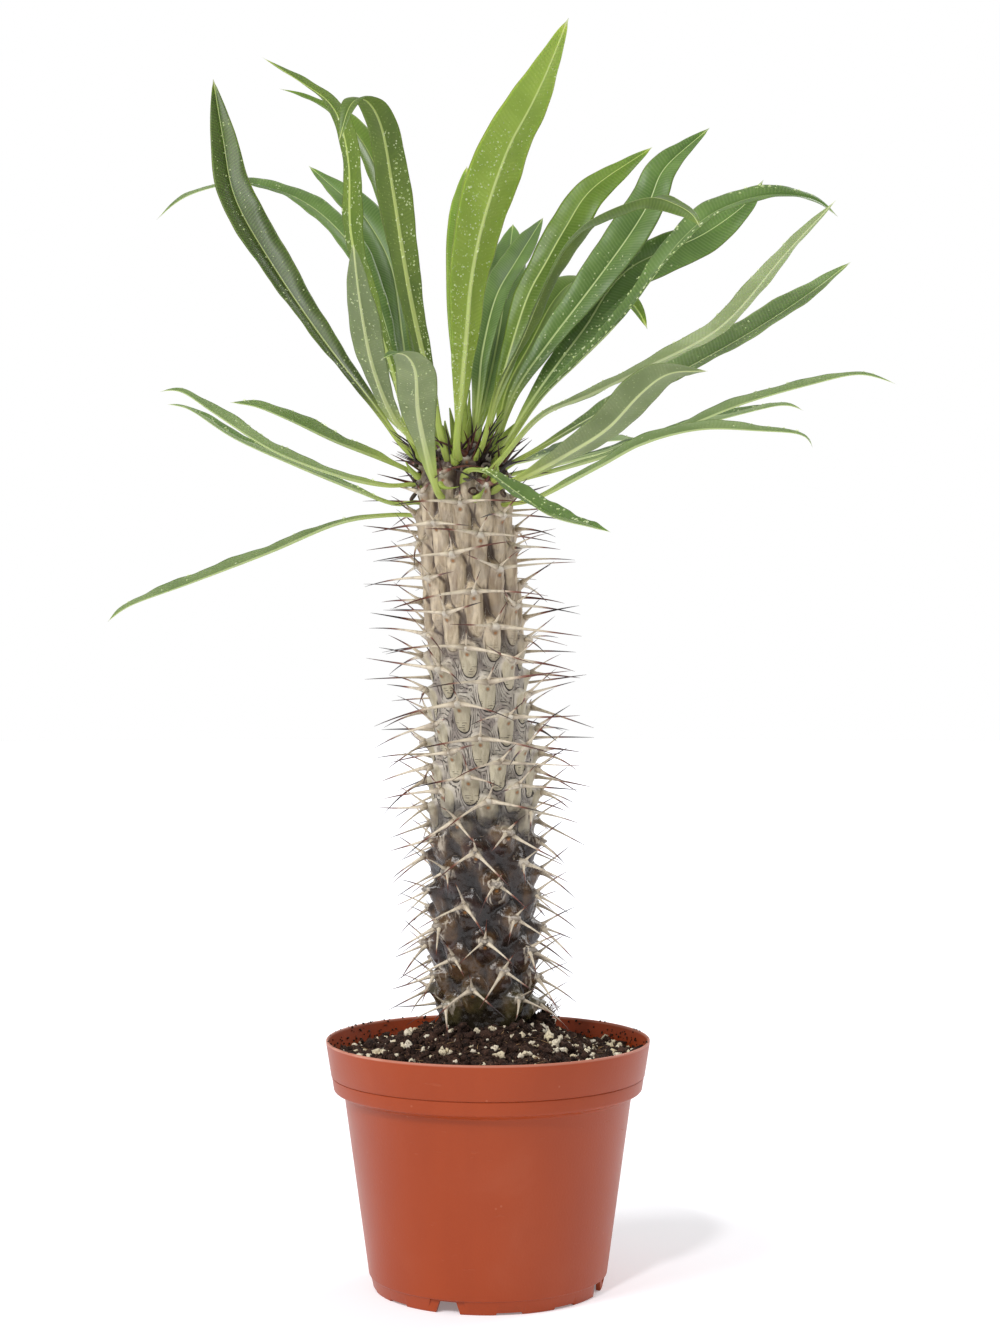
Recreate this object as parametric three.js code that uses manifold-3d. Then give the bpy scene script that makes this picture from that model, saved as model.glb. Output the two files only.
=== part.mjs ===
// A potted pachypodium: a spiny succulent trunk with a crown of long leaves, in a nursery pot.
// Millimetres, +Z up. The origin is on the floor, on the pot's axis. -Y is the front.
import * as THREE from "three";
import { mergeVertices } from "three/addons/utils/BufferGeometryUtils.js";
import Module from "manifold-3d";

const wasm = await Module();
wasm.setup();

// ---------- driving dimensions ----------

const POT = {
  rimRadius: 85,
  height: 129.4,
  wall: 1.3,
  lip: 0.5,
  collarInset: 4, // how far the collar's foot stands in from the rim
  collarFoot: 104.5,
  collarRound: 1.6,
  collarUnderside: 2.6,
  seamInset: 2.7,
  seamHeight: 110.8, // step where the rim was moulded
  seamStep: 0.4,
  bodyTopRadius: 75.3,
  bodyTop: 101,
  bodyFootRadius: 61.7,
  footHeight: 7,
  footRadius: 60.2,
  footWall: 2.6,
  baseThickness: 1.5,
  fillet: 1.2,
  drainCentre: 6,
  drainRadius: 4,
  drainCircle: 45,
  drainCount: 8,
  segments: 48,
};

const NOTCH = {
  count: 12,
  everyDeep: 3, // each third notch is a deep one
  firstAngle: 10.6, // degrees from the front towards the right
  deepTop: 9,
  deepBottom: 14,
  deepHeight: 6,
  shallowWidth: 13,
  shallowHeight: 1.2,
  panelWidth: 23,
  panelTaper: 2.5,
  panelDepth: 0.7,
  reach: 3, // how far the cutting bodies pass through the wall on each side
  drop: 1, // and below the floor
};

const SOIL = {
  gap: 0.35,
  level: 119.5,
  mound: 24, // the bed is heaped up against the trunk
  moundRadius: 72,
  moundRings: 8,
};

// Trunk: its axis leans to the left towards the crown. Each row is [height, axis x, radius].
const TRUNK_ROWS = [
  [94, -2.4, 20],
  [108, -2.4, 22.4],
  [122, -2.4, 22.9],
  [143, -2.4, 25.5],
  [181, -1.9, 27.1],
  [228, -2.9, 27.6],
  [280, -2.6, 27.3],
  [328, -6.1, 25.5],
  [359, -8.7, 24.5],
  [395, -11.5, 23.7],
  [420, -13.6, 23.2],
  [430, -14, 21],
  [436, -14, 16],
  [440, -14, 8],
];
const TRUNK_TOP = 441;
const TRUNK = {
  segments: 30,
  ringPitch: 8.5,
  soilRing: 122, // the rings between this height and the shoulder are evenly spaced
  shoulder: 430,
  reliefDepth: 1.8,
  tubercleHalfWidth: 5.6,
  tubercleHalfHeight: 9,
  tubercleDrop: 3, // a tubercle's middle lies below its areole
  smoothBelow: 137.5,
  fullReliefFrom: 147,
  crownFadeFrom: 425,
  crownFadeTo: 436,
};

// Areoles follow the golden angle: each is one step lower and 137.5 degrees further round.
const AREOLE = {
  goldenAngle: 137.5,
  first: -34,
  last: 109,
  phase: 3.4,
};
// [areole number, height]: the steps are short in the crown and long in the middle.
const AREOLE_ROWS = [
  [-34, 434],
  [-21, 409.3],
  [-8, 382.8],
  [0, 363.3],
  [34, 287.9],
  [55, 255.8],
  [76, 213.1],
  [89, 183.8],
  [102, 158.6],
  [118, 130],
];

// Spines of one areole as [share along the trunk's side, outwards, upwards, length].
const SPINES_HIGH = [
  [0.9, 0.42, 0.02, 40],
  [-0.9, 0.42, 0.02, 40],
  [0.1, 0.75, 0.6, 19],
];
const SPINES_LOW = [
  [0.72, 0.48, -0.5, 25],
  [-0.72, 0.48, -0.5, 25],
  [0.05, 0.66, 0.75, 23],
];
const SPINE = {
  radius: 1.15,
  sunk: 2,
  lowestTip: 139,
  turnsLowAt: 225, // below this height the two side spines point downwards
  turnsHighAt: 290,
  crownFrom: 402,
  crownTo: 436,
  crownShortening: 0.55,
  crownLift: 0.5,
};

const LEAF = {
  stations: 20,
  petioleShare: 0.1,
  flatFrom: 0.02, // share of the length where the round petiole starts to flatten
  flatAt: 0.3,
  riseExponent: 0.8,
  fallExponent: 3.4,
  outlinePeak: 0.55,
  petioleHalfWidth: 2,
  petioleUnder: 1.5,
  upperRidge: 0.5,
  underRidge: 1.25,
  rootDrop: 6, // how far below its route a low leaf is rooted
  crownDrop: 0.45, // more drop for each millimetre above the crown's foot
  crownFoot: 400,
  rootShare: 0.62,
  clearance: 0.7,
};

const PERLITE = {
  gap: 0.35,
  flattenY: 0.8,
  flattenZ: 0.7,
  turnStep: 1.3, // radians from one grain to the next
  tilt: 0.4,
};

// ---------- leaf routes ----------

// Each leaf: full width, fold of its two halves in degrees, roll at its base, middle and tip in
// degrees, and the route of its midrib from the crown to the tip.
const LEAVES = {
  leaf_01: [32, 12, [0, 4, 8],
    [-16, -31, 440], [-11, -46, 487], [-8, -54, 519], [-2, -62, 547], [10, -69, 581], [20, -73, 599],
    [29, -77, 617], [40, -82, 643]],
  leaf_02: [22, 16, [0, 0, 0],
    [-17, 14, 442], [-14, 34, 479], [-14, 60, 527], [-13, 92, 574], [-13, 126, 615]],
  leaf_03: [26, 18, [0, 0, 0],
    [-8, 19, 442], [0, 46, 478], [7, 80, 519], [11, 118, 556], [14, 150, 586]],
  leaf_04: [18, 24, [0, 10, 20],
    [-8, 0, 440], [-5, 14, 471], [-3, 26, 494], [4, 46, 526], [15, 72, 550], [31, 104, 581]],
  leaf_05: [22, -14, [20, 45, 55],
    [-2, 9, 443], [6, 16, 474], [20, 28, 521], [31, 34, 543], [43, 40, 565], [57, 46, 586],
    [90, 54, 610]],
  leaf_06: [25, -18, [20, 28, 30],
    [-2, -26, 441], [4, -36, 465], [17, -48, 491], [29, -60, 518], [39, -68, 535], [53, -78, 546],
    [78, -92, 553], [91, -100, 548], [99, -106, 542], [102, -110, 535]],
  leaf_07: [24, 16, [30, 50, 45],
    [4, 1, 442], [15, 8, 471], [33, 16, 498], [53, 24, 525], [75, 34, 556], [88, 42, 578],
    [96, 48, 597], [122, 60, 622]],
  leaf_08: [26, -12, [40, 55, 50],
    [9, -4, 440], [20, 2, 460], [35, 12, 483], [53, 22, 508], [63, 28, 525], [77, 36, 541],
    [96, 42, 551], [117, 50, 561], [141, 58, 579], [152, 64, 594]],
  leaf_09: [22, 15, [14, 20, 42],
    [8, -15, 437], [27, -18, 464], [46, -20, 482], [68, -21, 504], [90, -18, 533], [103, -14, 549],
    [120, -8, 563], [146, 2, 573], [172, 10, 573], [186, 14, 564]],
  leaf_10: [20, 8, [-6, -8, -10],
    [6, -22, 431], [27, -32, 453], [50, -42, 462], [81, -52, 476], [117, -60, 495], [148, -66, 530],
    [173, -70, 556]],
  leaf_11: [24, 18, [20, 30, 30],
    [11, 2, 431], [30, 10, 442], [61, 20, 461], [95, 32, 479], [140, 44, 505], [174, 54, 528],
    [200, 60, 548]],
  leaf_12: [22, 16, [-10, -25, -20],
    [8, -18, 419], [24, -34, 424], [43, -52, 433], [60, -68, 443], [75, -86, 458], [88, -102, 466],
    [105, -118, 465]],
  leaf_13: [18, 18, [0, 0, 0],
    [9, 2, 421], [30, 4, 427], [60, 2, 435], [90, -4, 445], [131, -14, 461], [169, -24, 471],
    [192, -30, 475], [209, -34, 469]],
  leaf_14: [20, 20, [0, 0, 0],
    [8, 14, 426], [36, 36, 434], [75, 60, 446], [113, 82, 459], [149, 100, 470], [170, 110, 475],
    [181, 116, 472]],
  leaf_15: [18, 20, [0, 0, 0],
    [6, -10, 409], [25, -18, 412], [58, -28, 428], [80, -36, 439], [108, -46, 445], [137, -58, 443],
    [157, -68, 440], [161, -72, 433]],
  leaf_16: [18, 20, [0, 0, 0],
    [5, 22, 432], [23, 48, 438], [43, 86, 447], [64, 124, 455], [88, 160, 460]],
  leaf_17: [18, 20, [0, 0, 0],
    [-11, -30, 425], [-1, -52, 423], [15, -88, 409], [31, -122, 396], [49, -151, 389],
    [57, -160, 386]],
  leaf_18: [24, 14, [0, 0, 0],
    [4, 17, 444], [10, 40, 475], [23, 66, 503], [37, 92, 532], [51, 108, 546], [70, 126, 546],
    [86, 138, 535], [93, 144, 523]],
  leaf_19: [23, 24, [-22, -33, -52],
    [-44, 4, 440], [-62, 14, 465], [-90, 30, 502], [-118, 48, 544], [-140, 62, 583], [-148, 74, 618],
    [-155, 84, 655]],
  leaf_20: [19, 14, [-10, -20, -20],
    [-41, 12, 443], [-48, 26, 476], [-59, 46, 519], [-76, 70, 558], [-106, 96, 589], [-143, 116, 603],
    [-177, 132, 599], [-195, 138, 586]],
  leaf_21: [22, 8, [0, 0, -10],
    [-39, -14, 438], [-47, -26, 471], [-58, -36, 505], [-69, -42, 542], [-70, -48, 580],
    [-77, -52, 606], [-93, -55, 618], [-113, -58, 630]],
  leaf_22: [17, 10, [0, -8, -8],
    [-38, -30, 441], [-48, -50, 451], [-56, -80, 471], [-60, -112, 495], [-62, -142, 521]],
  leaf_23: [20, 8, [0, 0, 0],
    [-26, -28, 415], [-31, -52, 433], [-34, -82, 450], [-34, -112, 465], [-37, -132, 470],
    [-42, -146, 470], [-48, -154, 466]],
  leaf_24: [20, 20, [0, 0, 0],
    [-40, -4, 427], [-56, -12, 433], [-79, -24, 441], [-100, -38, 450], [-117, -50, 456],
    [-129, -58, 457]],
  leaf_25: [18, 20, [0, 0, 0],
    [-38, -8, 420], [-53, -14, 419], [-76, -22, 423], [-109, -32, 435], [-138, -42, 453],
    [-155, -48, 464], [-165, -52, 463]],
  leaf_26: [18, 20, [0, 0, 0],
    [-37, 4, 412], [-49, 10, 411], [-68, 18, 418], [-101, 30, 432], [-138, 42, 449], [-164, 52, 466],
    [-177, 58, 469]],
  leaf_27: [18, 20, [0, 0, 0],
    [-36, 0, 404], [-51, 4, 405], [-79, 10, 401], [-117, 22, 386], [-161, 34, 370], [-196, 46, 358],
    [-209, 52, 349]],
  leaf_28: [19, 8, [0, 0, 0],
    [-23, -25, 439], [-29, -36, 467], [-36, -46, 497], [-41, -54, 523], [-47, -64, 562],
    [-52, -74, 591], [-59, -86, 602], [-66, -98, 597], [-71, -106, 577]],
  leaf_29: [24, 14, [-10, -15, -15],
    [-33, 21, 443], [-42, 42, 469], [-48, 66, 508], [-55, 84, 550], [-72, 100, 582], [-89, 116, 600],
    [-105, 130, 616]],
  leaf_30: [20, 16, [0, -10, -10],
    [-30, 6, 441], [-38, 28, 487], [-46, 48, 536], [-56, 66, 583], [-69, 80, 616], [-84, 90, 635],
    [-105, 100, 649], [-120, 106, 655]],
};

// White perlite grains that lie loose on the soil: [angle from the front in degrees, radius, size].
const GRAINS = [
  [24, 47, 4.6],
  [38, 62, 3.4],
  [-18, 58, 3.8],
  [-42, 44, 3.2],
  [-66, 66, 4],
  [8, 70, 3],
  [75, 54, 3.6],
  [112, 63, 3.2],
  [150, 48, 4.2],
  [-165, 65, 3.4],
  [-128, 52, 3.8],
  [-98, 40, 3],
];

// ---------- helpers ----------

const radians = THREE.MathUtils.degToRad;
const group = new THREE.Group();

function ramp(rows, x, column = 1) {
  const last = rows.length - 1;
  if (x <= rows[0][0]) return rows[0][column];
  if (x >= rows[last][0]) return rows[last][column];
  const i = rows.findIndex((row) => row[0] >= x);
  const [low, high] = [rows[i - 1], rows[i]];
  const share = (x - low[0]) / (high[0] - low[0]);
  return low[column] + share * (high[column] - low[column]);
}

function solidOf(geometry) {
  const bare = geometry.clone();
  bare.deleteAttribute("normal");
  bare.deleteAttribute("uv");
  const merged = mergeVertices(bare, 1e-4);
  const mesh = new wasm.Mesh({
    numProp: 3,
    vertProperties: Float32Array.from(merged.attributes.position.array),
    triVerts: Uint32Array.from(merged.index.array),
  });
  return new wasm.Manifold(mesh);
}

function geometryOf(solid) {
  const mesh = solid.getMesh();
  const geometry = new THREE.BufferGeometry();
  geometry.setAttribute("position", new THREE.BufferAttribute(mesh.vertProperties, 3));
  geometry.setIndex(new THREE.BufferAttribute(mesh.triVerts, 1));
  geometry.computeVertexNormals();
  return geometry;
}

function add(name, geometry, color, roughness) {
  const material = new THREE.MeshStandardMaterial({ color, roughness, metalness: 0 });
  const mesh = new THREE.Mesh(geometry, material);
  mesh.name = name;
  group.add(mesh);
}

function lathe(profile, segments) {
  const points = profile.map(([radius, height]) => new THREE.Vector2(radius, height));
  return new THREE.LatheGeometry(points, segments).rotateX(Math.PI / 2);
}

// A flat outline in x (sideways) and z (up), cut through the foot ring at an angle from the front.
function slab(outline, nearRadius, farRadius, angle) {
  const shape = new THREE.Shape(outline.map(([x, z]) => new THREE.Vector2(x, z)));
  const depth = farRadius - nearRadius;
  return new THREE.ExtrudeGeometry(shape, { depth, bevelEnabled: false })
    .rotateX(Math.PI / 2)
    .translate(0, -nearRadius, 0)
    .rotateZ(radians(angle));
}

// ---------- pot ----------

function potProfile() {
  const { rimRadius, height, wall, lip, fillet, footHeight } = POT;
  const { collarFoot, collarRound, collarUnderside, seamHeight, seamStep } = POT;
  const seam = rimRadius - POT.seamInset;
  const collar = rimRadius - POT.collarInset;
  const floor = footHeight + POT.baseThickness;
  return [
    [POT.drainCentre, footHeight],
    [POT.footRadius - POT.footWall + POT.lip, footHeight],
    [POT.footRadius - POT.footWall, 0],
    [POT.footRadius, 0],
    [POT.bodyFootRadius, footHeight],
    [POT.bodyTopRadius, POT.bodyTop],
    [collar - collarRound, collarFoot - collarUnderside],
    [collar, collarFoot],
    [seam - seamStep, seamHeight - seamStep],
    [seam, seamHeight],
    [rimRadius, height - lip],
    [rimRadius - lip, height],
    [rimRadius - wall + seamStep, height],
    [rimRadius - wall, height - lip],
    [seam - wall, seamHeight],
    [collar - wall, collarFoot + lip],
    [collar - wall - fillet, collarFoot - fillet],
    [POT.bodyTopRadius - wall, POT.bodyTop + lip],
    [POT.bodyFootRadius - wall, floor + fillet],
    [POT.bodyFootRadius - wall - fillet, floor],
    [POT.drainCentre, floor],
    [POT.drainCentre, footHeight],
  ];
}

function trapezoid(bottom, top, height) {
  return [[-bottom / 2, -NOTCH.drop], [bottom / 2, -NOTCH.drop], [top / 2, height], [-top / 2, height]];
}

function notchCuts() {
  const cuts = [];
  const inside = POT.footRadius - POT.footWall - NOTCH.reach;
  const outside = POT.bodyFootRadius + NOTCH.reach;
  const chord = Math.sqrt(POT.footRadius ** 2 - (NOTCH.panelWidth / 2) ** 2);
  const flat = chord + POT.bodyFootRadius - POT.footRadius - NOTCH.panelDepth;
  for (let i = 0; i < NOTCH.count; i++) {
    const angle = NOTCH.firstAngle + (i * 360) / NOTCH.count;
    const deep = i % NOTCH.everyDeep === NOTCH.everyDeep - 1;
    const outline = deep
      ? trapezoid(NOTCH.deepBottom, NOTCH.deepTop, NOTCH.deepHeight)
      : trapezoid(NOTCH.shallowWidth + 1, NOTCH.shallowWidth, NOTCH.shallowHeight);
    cuts.push(solidOf(slab(outline, inside, outside, angle)));
    if (deep) {
      const panel = trapezoid(NOTCH.panelWidth, NOTCH.panelWidth - 2 * NOTCH.panelTaper, POT.footHeight);
      cuts.push(solidOf(slab(panel, flat, outside, angle)));
    }
  }
  return cuts;
}

function drainCuts() {
  const cuts = [];
  for (let i = 0; i < POT.drainCount; i++) {
    const hole = new THREE.CylinderGeometry(POT.drainRadius, POT.drainRadius, 4 * POT.baseThickness, 12)
      .rotateX(Math.PI / 2)
      .translate(0, -POT.drainCircle, POT.footHeight)
      .rotateZ(radians((i * 360) / POT.drainCount));
    cuts.push(solidOf(hole));
  }
  return cuts;
}

function buildPot() {
  let pot = solidOf(lathe(potProfile(), POT.segments));
  for (const cut of [...notchCuts(), ...drainCuts()]) {
    pot = pot.subtract(cut);
  }
  return pot;
}

// ---------- trunk ----------

function axisX(z) {
  return ramp(TRUNK_ROWS, z, 1);
}

function trunkRadius(z) {
  return ramp(TRUNK_ROWS, z, 2);
}

function areoles() {
  const list = [];
  for (let n = AREOLE.first; n <= AREOLE.last; n++) {
    const turn = THREE.MathUtils.euclideanModulo(AREOLE.phase + n * AREOLE.goldenAngle, 360);
    list.push({ turn, z: ramp(AREOLE_ROWS, n) });
  }
  return list;
}

// Height of the nearest tubercle above the trunk's plain skin, at a turn in degrees.
function relief(turn, z, spots) {
  const perDegree = (Math.PI / 180) * trunkRadius(z);
  let best = 0;
  for (const spot of spots) {
    const away = THREE.MathUtils.euclideanModulo(turn - spot.turn + 180, 360) - 180;
    const across = (away * perDegree) / TRUNK.tubercleHalfWidth;
    const along = (z - spot.z + TRUNK.tubercleDrop) / TRUNK.tubercleHalfHeight;
    best = Math.max(best, 1 - across * across - along * along);
  }
  const soilFade = THREE.MathUtils.smoothstep(z, TRUNK.smoothBelow, TRUNK.fullReliefFrom);
  const crownFade = 1 - THREE.MathUtils.smoothstep(z, TRUNK.crownFadeFrom, TRUNK.crownFadeTo);
  return TRUNK.reliefDepth * Math.sqrt(best) * soilFade * crownFade;
}

function trunkHeights() {
  const { soilRing, shoulder, ringPitch } = TRUNK;
  const heights = TRUNK_ROWS.map((row) => row[0]).filter((z) => z < soilRing || z > shoulder);
  const steps = Math.round((shoulder - soilRing) / ringPitch);
  for (let i = 0; i <= steps; i++) {
    heights.push(soilRing + ((shoulder - soilRing) * i) / steps);
  }
  return heights.sort((a, b) => a - b);
}

function trunkCore(grow = 0) {
  const spots = areoles();
  const heights = trunkHeights();
  const profile = heights.map((z) => [trunkRadius(z) + grow, z]);
  profile.unshift([0, heights[0] - grow]);
  profile[1][1] -= grow;
  profile.push([0, TRUNK_TOP + grow]);
  const geometry = lathe(profile, TRUNK.segments);
  const place = geometry.attributes.position;
  for (let i = 0; i < place.count; i++) {
    const [x, y, z] = [place.getX(i), place.getY(i), place.getZ(i)];
    const radius = Math.hypot(x, y);
    const turn = THREE.MathUtils.radToDeg(Math.atan2(x, -y));
    const swell = radius > 1 ? 1 + relief(turn, z, spots) / radius : 1;
    place.setXYZ(i, x * swell + axisX(z), y * swell, z);
  }
  return solidOf(geometry);
}

function spineSolid(spot, [along, out, up, length]) {
  const turn = radians(spot.turn);
  const outward = new THREE.Vector3(Math.sin(turn), -Math.cos(turn), 0);
  const sideways = new THREE.Vector3(Math.cos(turn), Math.sin(turn), 0);
  const direction = outward.clone().multiplyScalar(out).addScaledVector(sideways, along);
  direction.z = up;
  direction.normalize();
  const radius = trunkRadius(spot.z) + TRUNK.reliefDepth - SPINE.sunk;
  const foot = outward.clone().multiplyScalar(radius).add(new THREE.Vector3(axisX(spot.z), 0, spot.z));
  const tip = foot.clone().addScaledVector(direction, length + SPINE.sunk);
  tip.z = Math.max(tip.z, SPINE.lowestTip);
  const reach = foot.distanceTo(tip);
  const cone = new THREE.ConeGeometry(SPINE.radius, reach, 3).translate(0, reach / 2, 0);
  const aim = tip.clone().sub(foot).normalize();
  cone.applyQuaternion(new THREE.Quaternion().setFromUnitVectors(new THREE.Vector3(0, 1, 0), aim));
  return solidOf(cone.translate(foot.x, foot.y, foot.z));
}

function spineSolids() {
  const solids = [];
  for (const spot of areoles()) {
    const high = THREE.MathUtils.smoothstep(spot.z, SPINE.turnsLowAt, SPINE.turnsHighAt);
    const crown = THREE.MathUtils.smoothstep(spot.z, SPINE.crownFrom, SPINE.crownTo);
    SPINES_HIGH.forEach((spine, i) => {
      const mixed = spine.map((value, k) => THREE.MathUtils.lerp(SPINES_LOW[i][k], value, high));
      mixed[2] += SPINE.crownLift * crown;
      mixed[3] *= 1 - SPINE.crownShortening * crown;
      solids.push(spineSolid(spot, mixed));
    });
  }
  return solids;
}

// ---------- leaves ----------

// The midrib starts inside the trunk and then follows the leaf's own route.
function leafRoute(points) {
  const [x, y, z] = points[0];
  const drop = LEAF.rootDrop + LEAF.crownDrop * Math.max(0, z - LEAF.crownFoot);
  const heart = new THREE.Vector3(axisX(z), 0, z - drop);
  const root = heart.clone().lerp(new THREE.Vector3(x, y, z), LEAF.rootShare);
  const route = [root, ...points.map((point) => new THREE.Vector3(...point))];
  return new THREE.CatmullRomCurve3(route, false, "catmullrom", 0.5);
}

function bladeShare(u) {
  const t = Math.max(0, (u - LEAF.petioleShare) / (1 - LEAF.petioleShare));
  return (t ** LEAF.riseExponent * (1 - t ** LEAF.fallExponent)) / LEAF.outlinePeak;
}

function leafSolid([width, fold, rolls, ...points], grow = 0) {
  const rollRows = rolls.map((roll, i) => [i / 2, roll]);
  const curve = leafRoute(points);
  const tip = points[points.length - 1];
  const outward = new THREE.Vector3(tip[0] - axisX(points[0][2]), tip[1], 0).normalize();
  const level = new THREE.Vector3(-outward.y, outward.x, 0);
  const geometry = new THREE.CylinderGeometry(0, 1, 1, 4, LEAF.stations);
  const place = geometry.attributes.position;
  for (let i = 0; i < place.count; i++) {
    const u = place.getY(i) + 0.5;
    const ring = Math.max(1 - u, 1e-9);
    const [across, over] = [-place.getX(i) / ring, place.getZ(i) / ring];
    const centre = curve.getPointAt(u);
    const tangent = curve.getTangentAt(u);
    if (u === 0) centre.addScaledVector(tangent, -grow);
    if (u === 1) centre.addScaledVector(tangent, grow);
    const side = level.clone().addScaledVector(tangent, -level.dot(tangent)).normalize();
    side.applyAxisAngle(tangent, radians(ramp(rollRows, u)));
    const face = tangent.clone().cross(side);
    const half = Math.hypot((width / 2) * bladeShare(u), LEAF.petioleHalfWidth * (1 - u)) + grow;
    const blade = THREE.MathUtils.smoothstep(u, LEAF.flatFrom, LEAF.flatAt);
    const under = THREE.MathUtils.lerp(LEAF.petioleUnder, LEAF.underRidge * (1 - u / 2), blade) + grow;
    const upper = THREE.MathUtils.lerp(LEAF.petioleUnder, LEAF.upperRidge, blade) + grow;
    const lift = Math.sin(radians(fold)) * Math.abs(across) * half * blade;
    const height = lift + (over > 0 ? over * upper : over * under);
    const spread = across * half * Math.cos(radians(fold) * blade);
    centre.addScaledVector(side, spread).addScaledVector(face, height);
    place.setXYZ(i, centre.x, centre.y, centre.z);
  }
  return solidOf(geometry);
}

// ---------- soil and perlite ----------

function soilTop(radius) {
  const share = Math.min(radius / SOIL.moundRadius, 1);
  return SOIL.level + SOIL.mound * (1 + Math.cos(Math.PI * share)) * 0.5;
}

// The bed follows the pot's inner wall with a small gap, and its top slopes up to the trunk.
function buildSoil() {
  const { gap, level, moundRadius, moundRings } = SOIL;
  const { wall, fillet, seamHeight, seamInset } = POT;
  const rimSlope = seamInset / (POT.height - seamHeight);
  const edge = POT.rimRadius - seamInset - wall + (level - seamHeight) * rimSlope - 2 * gap;
  const floor = POT.footHeight + POT.baseThickness + gap;
  const foot = POT.bodyFootRadius - wall - gap;
  const collar = POT.rimRadius - POT.collarInset - wall - gap;
  const profile = [
    [0, floor],
    [foot - fillet, floor],
    [foot, floor + fillet + gap],
    [POT.bodyTopRadius - wall - gap, POT.bodyTop + 2 * gap],
    [collar - fillet - gap, POT.collarFoot - gap],
    [collar - gap, POT.collarFoot + fillet],
    [edge - seamInset / 2, seamHeight],
    [edge, level],
  ];
  for (let i = moundRings; i >= 0; i--) {
    const radius = (moundRadius * i) / moundRings;
    profile.push([radius, soilTop(radius)]);
  }
  const bed = solidOf(lathe(profile, POT.segments));
  return bed.subtract(trunkCore(gap));
}

function buildGrain([angle, radius, size], index) {
  const { flattenY, flattenZ, turnStep, tilt, gap } = PERLITE;
  const grain = new THREE.IcosahedronGeometry(size / 2, 0);
  grain.scale(1, flattenY, flattenZ).rotateZ(index * turnStep).rotateX(tilt * Math.sin(index * 2));
  grain.computeBoundingBox();
  const rest = soilTop(radius - size / 2) + gap - grain.boundingBox.min.z;
  const turn = radians(angle);
  grain.translate(radius * Math.sin(turn), -radius * Math.cos(turn), rest);
  return solidOf(grain);
}

// ---------- assembly ----------

function largestBody(solid) {
  const bodies = solid.decompose();
  return bodies.reduce((best, body) => (body.volume() > best.volume() ? body : best));
}

let trunk = wasm.Manifold.union([trunkCore(), ...spineSolids()]);
for (const leaf of Object.values(LEAVES)) {
  trunk = trunk.subtract(leafSolid(leaf, LEAF.clearance));
}

add("pot", geometryOf(buildPot()), 0xb25636, 0.5);
add("soil", geometryOf(buildSoil()), 0x2b211b, 0.95);
add("trunk", geometryOf(largestBody(trunk)), 0xa99d8d, 0.7);
for (const [name, leaf] of Object.entries(LEAVES)) {
  add(name, geometryOf(leafSolid(leaf)), 0x5c7a3c, 0.4);
}
GRAINS.forEach((grain, index) => {
  const name = "perlite_" + String(index + 1).padStart(2, "0");
  add(name, geometryOf(buildGrain(grain, index)), 0xe8e4da, 0.9);
});

export default group;
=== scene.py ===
"""Looks of a potted pachypodium: nursery pot, peat with perlite, spiny trunk and thirty leaves.

Everything is built in metres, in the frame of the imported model. Sizes are written in millimetres
and turned into metres by MM. The front of the plant faces -Y.
"""
from __future__ import annotations

import logging
import math
from dataclasses import dataclass
from enum import Enum
from typing import Callable, Sequence

import bmesh
import bpy
import numpy as np
from mathutils import Euler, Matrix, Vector, noise


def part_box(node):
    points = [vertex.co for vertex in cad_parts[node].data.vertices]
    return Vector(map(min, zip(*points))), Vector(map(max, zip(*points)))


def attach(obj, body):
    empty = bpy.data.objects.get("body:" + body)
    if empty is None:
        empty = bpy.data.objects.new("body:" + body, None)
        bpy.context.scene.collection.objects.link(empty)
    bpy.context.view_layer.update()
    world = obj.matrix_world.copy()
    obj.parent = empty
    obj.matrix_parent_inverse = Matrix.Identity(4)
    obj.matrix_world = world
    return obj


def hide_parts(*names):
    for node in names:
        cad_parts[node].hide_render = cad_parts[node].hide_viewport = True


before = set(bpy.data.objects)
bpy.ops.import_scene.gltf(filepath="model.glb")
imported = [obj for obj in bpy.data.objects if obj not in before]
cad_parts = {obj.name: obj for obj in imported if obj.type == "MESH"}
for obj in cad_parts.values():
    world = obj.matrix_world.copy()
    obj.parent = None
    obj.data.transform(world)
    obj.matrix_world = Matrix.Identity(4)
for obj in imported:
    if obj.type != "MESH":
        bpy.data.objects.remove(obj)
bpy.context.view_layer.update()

MM = 0.001
TURN = 2.0 * math.pi
Colour = tuple[float, float, float, float]
LOG = logging.getLogger("pachypodium")


# ---------- small maths ----------


def srgb(red: int, green: int, blue: int) -> Colour:
    """A display colour from 0 to 255 as the linear colour that a shader takes.

    Args:
        red, green, blue: the display values.

    Returns:
        The linear colour with alpha 1.
    """
    def linear(value: int) -> float:
        """One channel made linear."""
        share = value / 255
        return share / 12.92 if share <= 0.04045 else ((share + 0.055) / 1.055) ** 2.4

    return linear(red), linear(green), linear(blue), 1.0


def smoothstep(value: np.ndarray, low: float, high: float) -> np.ndarray:
    """Smooth rise from 0 at low to 1 at high; with low above high it falls instead."""
    share = np.clip((value - low) / (high - low), 0.0, 1.0)
    return share * share * (3.0 - 2.0 * share)


def mixed(start: np.ndarray, end: np.ndarray, share: np.ndarray) -> np.ndarray:
    """Start and end mixed, with share 0 for start and 1 for end."""
    return start + (end - start) * share


def unit(vectors: np.ndarray) -> np.ndarray:
    """Rows of a table of vectors, each made one long."""
    return vectors / np.maximum(np.linalg.norm(vectors, axis=-1, keepdims=True), 1e-12)


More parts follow.
